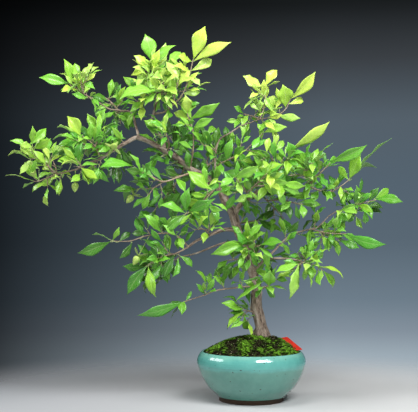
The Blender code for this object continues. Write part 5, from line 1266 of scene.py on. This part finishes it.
def moundHeight(x, y):
    low, high, edge, peak = [mossBed[key] for key in ("low", "high", "edge", "peak")]
    way = Vector((x - peak, y))
    far = way.length
    if far < 1e-6:
        return high
    way /= far
    back = peak * way.x
    rim = -back + math.sqrt(max(0.0, back * back - (peak * peak - edge * edge)))
    t = min(1.0, far / rim)
    return low + (high - low) * max(0.0, math.cos(t * math.pi / 2)) ** 0.75


def mossPatch(x, y):
    return 1.2 * noise.noise(Vector((x, y, 3)) * 40) + 0.7 * noise.noise(Vector((x, y, 8)) * 110)


def mossColour(patch, chance):
    green = clamp(0.16 + patch * 1.9 + chance.uniform(-0.45, 0.45))
    return mixColours(mossBed["olive"], mossBed["bright"], green)


def scattered(count, share, chance):
    # places spread evenly over the mound
    for _ in range(count):
        angle = chance.uniform(0, 2 * math.pi)
        r = mossBed["edge"] * share * math.sqrt(chance.random())
        x, y = r * math.cos(angle), r * math.sin(angle)
        yield x, y, moundHeight(x, y)


def mossSkin():
    # the bed itself, closed below
    spokes = mossBed["spokes"]
    rings = mossBed["rings"]
    vertices = []
    tints = []
    for i in range(rings + 1):
        r = mossBed["edge"] * (i / rings) ** 0.9 if i else 0.0005
        for k in range(spokes):
            angle = 2 * math.pi * k / spokes
            x, y = r * math.cos(angle), r * math.sin(angle)
            lump = noise.fractal(Vector((x, y, 0)) * 120, 0.8, 2.0, 4)
            z = moundHeight(x, y)
            z += lump * mossBed["lumps"] - 0.002
            vertices.append(Vector((x, y, z)))
            tints.append(mixColours(mossBed["soil"], mossBed["olive"], clamp(0.5 + lump)))
    base = len(vertices)
    vertices += [Vector((v.x, v.y, mossLow.z)) for v in vertices[-spokes:]]
    tints += [mossBed["soil"]] * spokes
    faces = [(a, d, c, b) for a, b, c, d in ringFaces(rings + 2, spokes)]
    faces += [tuple(range(spokes)), tuple(range(base + spokes - 1, base - 1, -1))]
    return vertices, faces, tints


def mossClumps(chance):
    ball = bmesh.new()
    bmesh.ops.create_icosphere(ball, subdivisions=2, radius=1.0)
    ballPoints = [v.co.copy() for v in ball.verts]
    ballFaces = [tuple(v.index for v in f.verts) for f in ball.faces]
    ball.free()
    trunkFoot = spot(*mossBed["trunkFoot"])
    parts = []
    for x, y, z in scattered(mossBed["clumps"], 0.985, chance):
        if (Vector((x, y)) - trunkFoot.xy).length < mossBed["trunkRoom"]:
            continue
        patch = mossPatch(x, y)
        bare = chance.random() < 0.45 - patch * 1.9
        size = chance.uniform(*mossBed["bareClump" if bare else "greenClump"])
        top = mossBed["soil"] if bare else mossColour(patch, chance)
        points = []
        tints = []
        for p in ballPoints:
            rough = 1 + 0.35 * noise.noise(p * 2.5 + Vector((x, y, z)) * 900)
            points.append(Vector((x, y, z - 0.001)) + Vector((p.x, p.y, p.z * 0.75)) * size * rough)
            # painted shade: each clump near-black underneath, turning to its own colour on top
            tints.append(mixColours(mossBed["dark"], top, clamp(0.1 + 0.9 * p.z)))
        parts.append((points, ballFaces, tints))
    return gather(parts)


def mossBlades(chance):
    # standing blades, then loose crumbs of granule
    parts = []
    for x, y, z in scattered(mossBed["blades"], 0.98, chance):
        lean = Vector((chance.uniform(-0.6, 0.6), chance.uniform(-0.6, 0.6), 1)).normalized()
        tall = chance.uniform(*mossBed["bladeHeight"])
        across = lean.orthogonal().normalized() * chance.uniform(0.0003, 0.0006)
        deep = lean.cross(across).normalized() * 0.0003
        patch = mossPatch(x, y)
        if chance.random() < 0.62 - patch * 2.6:
            continue
        tip = mossBed["pale"] if chance.random() < 0.09 else mossColour(patch, chance)
        foot = Vector((x, y, z - 0.0012))
        points = [foot + across, foot - across * 0.5 + deep, foot - across * 0.5 - deep, foot + lean * tall]
        # painted shade: near-black at the blade's foot, its own colour at the tip
        tints = [mossBed["dark"]] * 3 + [tip]
        parts.append((points, [(0, 1, 3), (1, 2, 3), (2, 0, 3), (0, 2, 1)], tints))
    crumbFaces = []
    for k in range(4):
        crumbFaces += [(k, (k + 1) % 4, 4), ((k + 1) % 4, k, 5)]
    for x, y, z in scattered(mossBed["crumbs"], 0.98, chance):
        centre = Vector((x, y, z + chance.uniform(0.0, 0.0012)))
        size = chance.uniform(*mossBed["crumbSize"])
        points = [centre + Vector(way) * size * chance.uniform(0.6, 1.3)
                  for way in ((1, 0, 0), (0, 1, 0), (-1, 0, 0), (0, -1, 0), (0, 0, 1), (0, 0, -1))]
        parts.append((points, crumbFaces, [mossBed["crumb"]] * 6))
    return gather(parts)


def makeMoss():
    chance = random.Random(mossBed["seed"])
    look = mossMaterial()
    for name, (vertices, faces, tints) in (("moss_bed", mossSkin()), ("moss_clumps", mossClumps(chance)),
                                           ("moss_blades", mossBlades(chance))):
        piece = newPiece(name, vertices, faces, ["moss"], [look], smooth=name != "moss_blades")
        paint(piece, "mossTint", tints)


def mossMaterial():
    made, tree, shader = newMaterial("moss", 0.9, Specular_IOR_Level=0.02)
    place = objectPlace(tree)
    fleck = ramp(tree, grainNoise(tree, place, 900.0, 3.0), mossBed["fleck"])
    colour = blendColours(tree, "MULTIPLY", 1.0, readAttribute(tree, "mossTint"), fleck)
    coat(tree, shader, colour, grainNoise(tree, place, 1400.0, 4.0), 0.7, 0.0008)
    return made


persimmon = {
    "radius": 0.0062,
    "height": 0.018,
    "lobe": 0.019,
    "lobeWidth": 0.0054,
    "sides": 28,
    "ribs": 0.035,
    "outline": [(0.02, 1.0), (0.10, 0.985), (0.42, 0.86), (0.8, 0.62), (1.0, 0.36), (0.86, 0.12),
                (0.45, 0.02), (0.02, 0.0)],  # shares of the radius and of the way down
    "skin": [(0.35, (0.26, 0.45, 0.07)), (0.65, (0.48, 0.60, 0.15))],
    "calyx": [(0.35, (0.16, 0.30, 0.05)), (0.65, (0.34, 0.42, 0.12))],
}


def makeFruit(name, route, looks):
    top, calyx, _ = fruits[name]
    foot, thick, _ = nearestOn(route, spot(*top))
    crown = spot(*calyx)
    lift = (crown - foot).normalized()
    upright = lift.to_track_quat("-Z", "Y").to_matrix()
    outline = smoothRoute([(share, -persimmon["height"] * down) for share, down in persimmon["outline"]], 4)
    sides = persimmon["sides"]
    flesh = []
    for share, z in outline:
        for k in range(sides):
            angle = 2 * math.pi * k / sides
            r = max(share, 0.02) * persimmon["radius"] * (1 + persimmon["ribs"] * math.cos(4 * angle))
            flesh.append(crown + upright @ Vector((r * math.cos(angle), r * math.sin(angle), z)))
    skin = ringFaces(len(outline), sides)
    skin += [tuple(range(sides))[::-1], tuple(range(len(flesh) - sides, len(flesh)))]
    stalk = smoothLimb([(foot + lift * thick * 0.6, 0.0008), (crown.lerp(foot, 0.45), 0.00065),
                        (crown, 0.0011)], 6)
    parts = [(flesh, skin, []), limb(stalk, 8)]
    for k in range(4):
        angle = math.radians(90 * k + 35)
        out = (upright @ Vector((math.cos(angle), math.sin(angle), 0.35))).normalized()
        parts.append(calyxLobe(crown - lift * 0.0005, out, out.cross(lift).normalized(), -lift))
    vertices, faces, _ = gather(parts)
    piece = newPiece(name + "_with_calyx", vertices, faces, [name], looks)
    piece.data.polygons.foreach_set("material_index", [0] * len(skin) + [1] * (len(faces) - len(skin)))
    paint(piece, "grain", [tuple(v) for v in vertices])


def calyxLobe(start, out, side, up):
    # a narrow tapering lobe that spreads and turns back at its end
    vertices = []
    rows = 10
    length = persimmon["lobe"]
    for i in range(rows + 1):
        s = i / rows
        centre = start + out * length * s + up * length * (0.05 * s + 0.30 * s * s - 0.15 * s ** 4)
        half = persimmon["lobeWidth"] / 2 * (math.sin(math.pi * min(1.0, 0.12 + s * 0.88)) ** 0.8) + 0.00012
        for v in (-1, -0.5, 0, 0.5, 1):
            vertices.append(centre + side * half * v + up * (0.0006 * abs(v)))
    vertices += [v - up * 0.0004 for v in vertices]
    upper, under = sheetFaces(rows, 4)
    return vertices, upper + under, []


def fruitMaterial():
    made, tree, shader = newMaterial("unripe persimmon skin", 0.34)
    place = objectPlace(tree)
    colour = ramp(tree, grainNoise(tree, place, 180.0, 4.0), persimmon["skin"])
    coat(tree, shader, colour, grainNoise(tree, place, 1500.0, 2.0), 0.15, 0.0004)
    return made


def calyxMaterial():
    made, tree, shader = newMaterial("calyx and stalk", 0.55)
    cloud = grainNoise(tree, readAttribute(tree, "grain"), 420.0, 4.0)
    coat(tree, shader, ramp(tree, cloud, persimmon["calyx"]), cloud, 0.4, 0.0004)
    return made


plantTag = {
    "corner": 0.0022,
    "run": (0.026, -0.026, -0.0205),  # the way it slopes over the moss
    "width": 0.0220,
    "length": 0.0420,
    "thickness": 0.0010,
    "fromPot": (0.073, 0.0, 0.0128),  # its middle, from the rim's centre
    "red": [(0.3, (0.48, 0.02, 0.012)), (0.7, (0.68, 0.045, 0.022))],
}


def makeTag():
    along = Vector(plantTag["run"]).normalized()
    across = Vector((-along.y, along.x, 0)).normalized()
    face = along.cross(across)
    centre = Vector(plantTag["fromPot"]) + Vector((0, 0, potHigh.z))
    half = plantTag["width"] / 2
    reach = plantTag["length"] / 2
    thick = plantTag["thickness"] / 2
    corner = plantTag["corner"]
    outline = []
    for x, z, start in ((1, 1, 0), (-1, 1, 90), (-1, -1, 180), (1, -1, 270)):
        for k in range(7):
            angle = math.radians(start + 15 * k)
            outline.append((x * (half - corner) + corner * math.cos(angle),
                            z * (reach - corner) + corner * math.sin(angle)))
    count = len(outline)
    vertices = []
    for lift in (-thick, thick):
        for x, z in outline:
            sag = 0.0009 * (1 - (z / reach) ** 2) + 0.0004 * math.sin(x * 260)
            vertices.append(centre + across * x + along * z + face * (lift + sag))
    faces = [tuple(range(count)), tuple(range(2 * count - 1, count - 1, -1))]
    faces += [(k, k + count, (k + 1) % count + count, (k + 1) % count) for k in range(count)]
    piece = newPiece("blank_plant_tag", vertices, faces, ["plant_tag"], smooth=False)
    bevel = piece.modifiers.new("worn edge", "BEVEL")
    bevel.width = 0.00018
    bevel.segments = 2
    applyAll(piece)
    faceOutward(piece)
    made, tree, shader = newMaterial("red plastic", 0.32)
    cloud = grainNoise(tree, objectPlace(tree), 140.0, 4.0)
    coat(tree, shader, ramp(tree, cloud, plantTag["red"]), cloud, 0.15, 0.0005)
    piece.data.materials.append(made)


def dressHiddenNodes():
    # soil, drain screen and wire keep their CAD shapes and get grained finishes
    looks = (("soil", (0.025, 0.015, 0.009), (0.10, 0.062, 0.036), 0.95, 0.0, 700.0),
             ("drain_screen", (0.012, 0.012, 0.012), (0.030, 0.030, 0.030), 0.5, 0.0, 900.0),
             ("screen_wire", (0.55, 0.55, 0.55), (0.74, 0.74, 0.74), 0.35, 1.0, 1200.0))
    for node, dark, light, rough, metal, scale in looks:
        made, tree, shader = newMaterial(node + " finish", rough, Metallic=metal)
        grit = grainNoise(tree, objectPlace(tree), scale, 5.0, 0.7)
        coat(tree, shader, ramp(tree, grit, [(0.35, dark), (0.7, light)]), grit, 0.6, 0.001)
        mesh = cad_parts[node].data
        mesh.materials.clear()
        mesh.materials.append(made)


studio = {
    "eyeFromPot": (-0.078, -1.8, 0.30),
    "aimFromPot": (-0.078, 0.0, 0.357),
    "lens": 83.8,
    "floorRadius": 1.2,
    "floorFade": (0.26, 0.80),  # the floor melts into the backdrop between these distances
    # floor: painted light, darker on the left and brighter on the right
    "floor": [(0.05, (0.38, 0.39, 0.41)), (0.50, (0.50, 0.51, 0.52)), (0.85, (0.70, 0.71, 0.71))],
    "floorCloud": [(0.3, (0.97, 0.97, 0.97)), (0.7, (1, 1, 1))],
    # backdrop: painted light falloff, pale where it meets the floor and darkening upwards
    "backdrop": ((0.415, (0.60, 0.63, 0.64)), (0.4347, (0.386, 0.462, 0.521)),
                 (0.442, (0.33, 0.40, 0.455)), (0.452, (0.235, 0.287, 0.342)),
                 (0.4677, (0.156, 0.209, 0.258)), (0.498, (0.10, 0.138, 0.175)),
                 (0.529, (0.091, 0.127, 0.162)), (0.56, (0.09, 0.118, 0.145)),
                 (0.589, (0.045, 0.052, 0.060)), (0.616, (0.010, 0.012, 0.013)),
                 (1.0, (0.05, 0.05, 0.05))),
    "backdropPaintedShade": (-0.23, 0.12),  # painted shade: it darkens towards the left between these
    "lamps": (("key_softbox", (0.55, -0.95, 1.30), (-0.02, 0, 0.30), (0.80, 0.40), 25.0, True),
              ("left_softbox", (-1.22, 0.02, 0.85), (-0.05, 0, 0.25), (0.80, 0.42), 9.0, True),
              ("crown_softbox", (-0.25, -0.40, 1.25), (-0.10, 0, 0.55), (0.50, 0.50), 8.0, False),
              ("front_fill", (-0.10, -2.20, 0.80), (0.02, 0, 0.30), (1.30, 1.30), 17.0, False)),
}


def makeFloor():
    bpy.ops.mesh.primitive_circle_add(vertices=96, radius=studio["floorRadius"], fill_type="NGON",
                                      location=(potAxis.x, potAxis.y, 0))
    floor = bpy.context.object
    floor.name = "studio_floor"
    made, tree, shader = newMaterial("pale floor", 0.7)
    place = objectPlace(tree)
    cloud = ramp(tree, grainNoise(tree, place, 1.5, 2.0), studio["floorCloud"])
    # painted light: the floor turns from darker on the left to brighter on the right
    colour = ramp(tree, mathNode(tree, "ADD", axes(tree, place)["X"], 0.5), studio["floor"])
    feed(tree, shader.inputs["Base Color"], blendColours(tree, "MULTIPLY", 1.0, colour, cloud))
    far = addNode(tree, "VectorMath", operation="LENGTH")
    feed(tree, far.inputs[0], place)
    fade = mapRange(tree, far.outputs["Value"], "SMOOTHSTEP", *studio["floorFade"], 1.0, 0.0)
    feed(tree, shader.inputs["Alpha"], fade)
    floor.data.materials.append(made)


def makeBackdrop():
    world = bpy.data.worlds.new("studio air")
    bpy.context.scene.world = world
    world.use_nodes = True
    air = world.node_tree
    way = axes(air, addNode(air, "TexCoord").outputs["Generated"])
    level = mathNode(air, "ADD", times(air, way["Z"], 0.5), 0.5)
    # painted light and shade: pale low down, darkening upwards and towards the left
    colour = ramp(air, level, studio["backdrop"])
    paintedLeftShade = mapRange(air, way["X"], "LINEAR", *studio["backdropPaintedShade"], 0.05, 1.0)
    share = mathNode(air, "MAXIMUM", paintedLeftShade, mask(air, level, 0.415, 0.430))
    background = air.nodes["Background"]
    feed(air, background.inputs["Color"], blendColours(air, "MULTIPLY", 1.0, colour, share))
    background.inputs["Strength"].default_value = 1.0


def standAt(name, data, place, target):
    # a lamp or camera at its place from the pot's foot, turned to what it looks at
    stand = bpy.data.objects.new(name, data)
    bpy.context.scene.collection.objects.link(stand)
    stand.location = potAxis + Vector(place)
    aim = potAxis + Vector(target) - stand.location
    stand.rotation_euler = aim.to_track_quat("-Z", "Y").to_euler()
    return stand


def makeLamps():
    for name, place, target, size, power, glints in studio["lamps"]:
        light = bpy.data.lights.new(name, "AREA")
        light.energy = power
        light.shape = "RECTANGLE"
        light.size, light.size_y = size
        lamp = standAt(name, light, place, target)
        lamp.visible_camera = False
        lamp.visible_glossy = glints


def makeCamera():
    bpy.context.scene.view_settings.view_transform = "Standard"
    camera = bpy.data.cameras.new("studio camera")
    camera.lens = studio["lens"]
    bpy.context.scene.camera = standAt("studio_camera", camera, studio["eyeFromPot"], studio["aimFromPot"])


makeFloor()
makeBackdrop()
makeLamps()
makeCamera()
print("studio ready")
woodRoutes, grown, leaves = growPlant()
print("plant grown:", sum(len(v) for v in leaves.values()), "leaves")
makePot()
makeMoss()
makeTag()
dressHiddenNodes()
print("pot, moss, tag and fittings made")
makeWood()
print("trunk and branches made")
youngBark = barkMaterial("young bark", True)
leafLooks = [leafMaterial("leaf upper side", False), leafMaterial("leaf underside", True)]
chance = random.Random(foliage["bladeSeed"])
total = 0
for name in sprays:
    makeTwigs(name, grown[name], youngBark)
    total += makeLeaves(name, leaves[name], leafLooks, chance)
print("sprays made,", total, "leaf faces")
fruitLooks = [fruitMaterial(), calyxMaterial()]
for name, (_, _, parent) in fruits.items():
    makeFruit(name, woodRoutes.get(parent) or grown[parent][-1], fruitLooks)
print("fruits made")
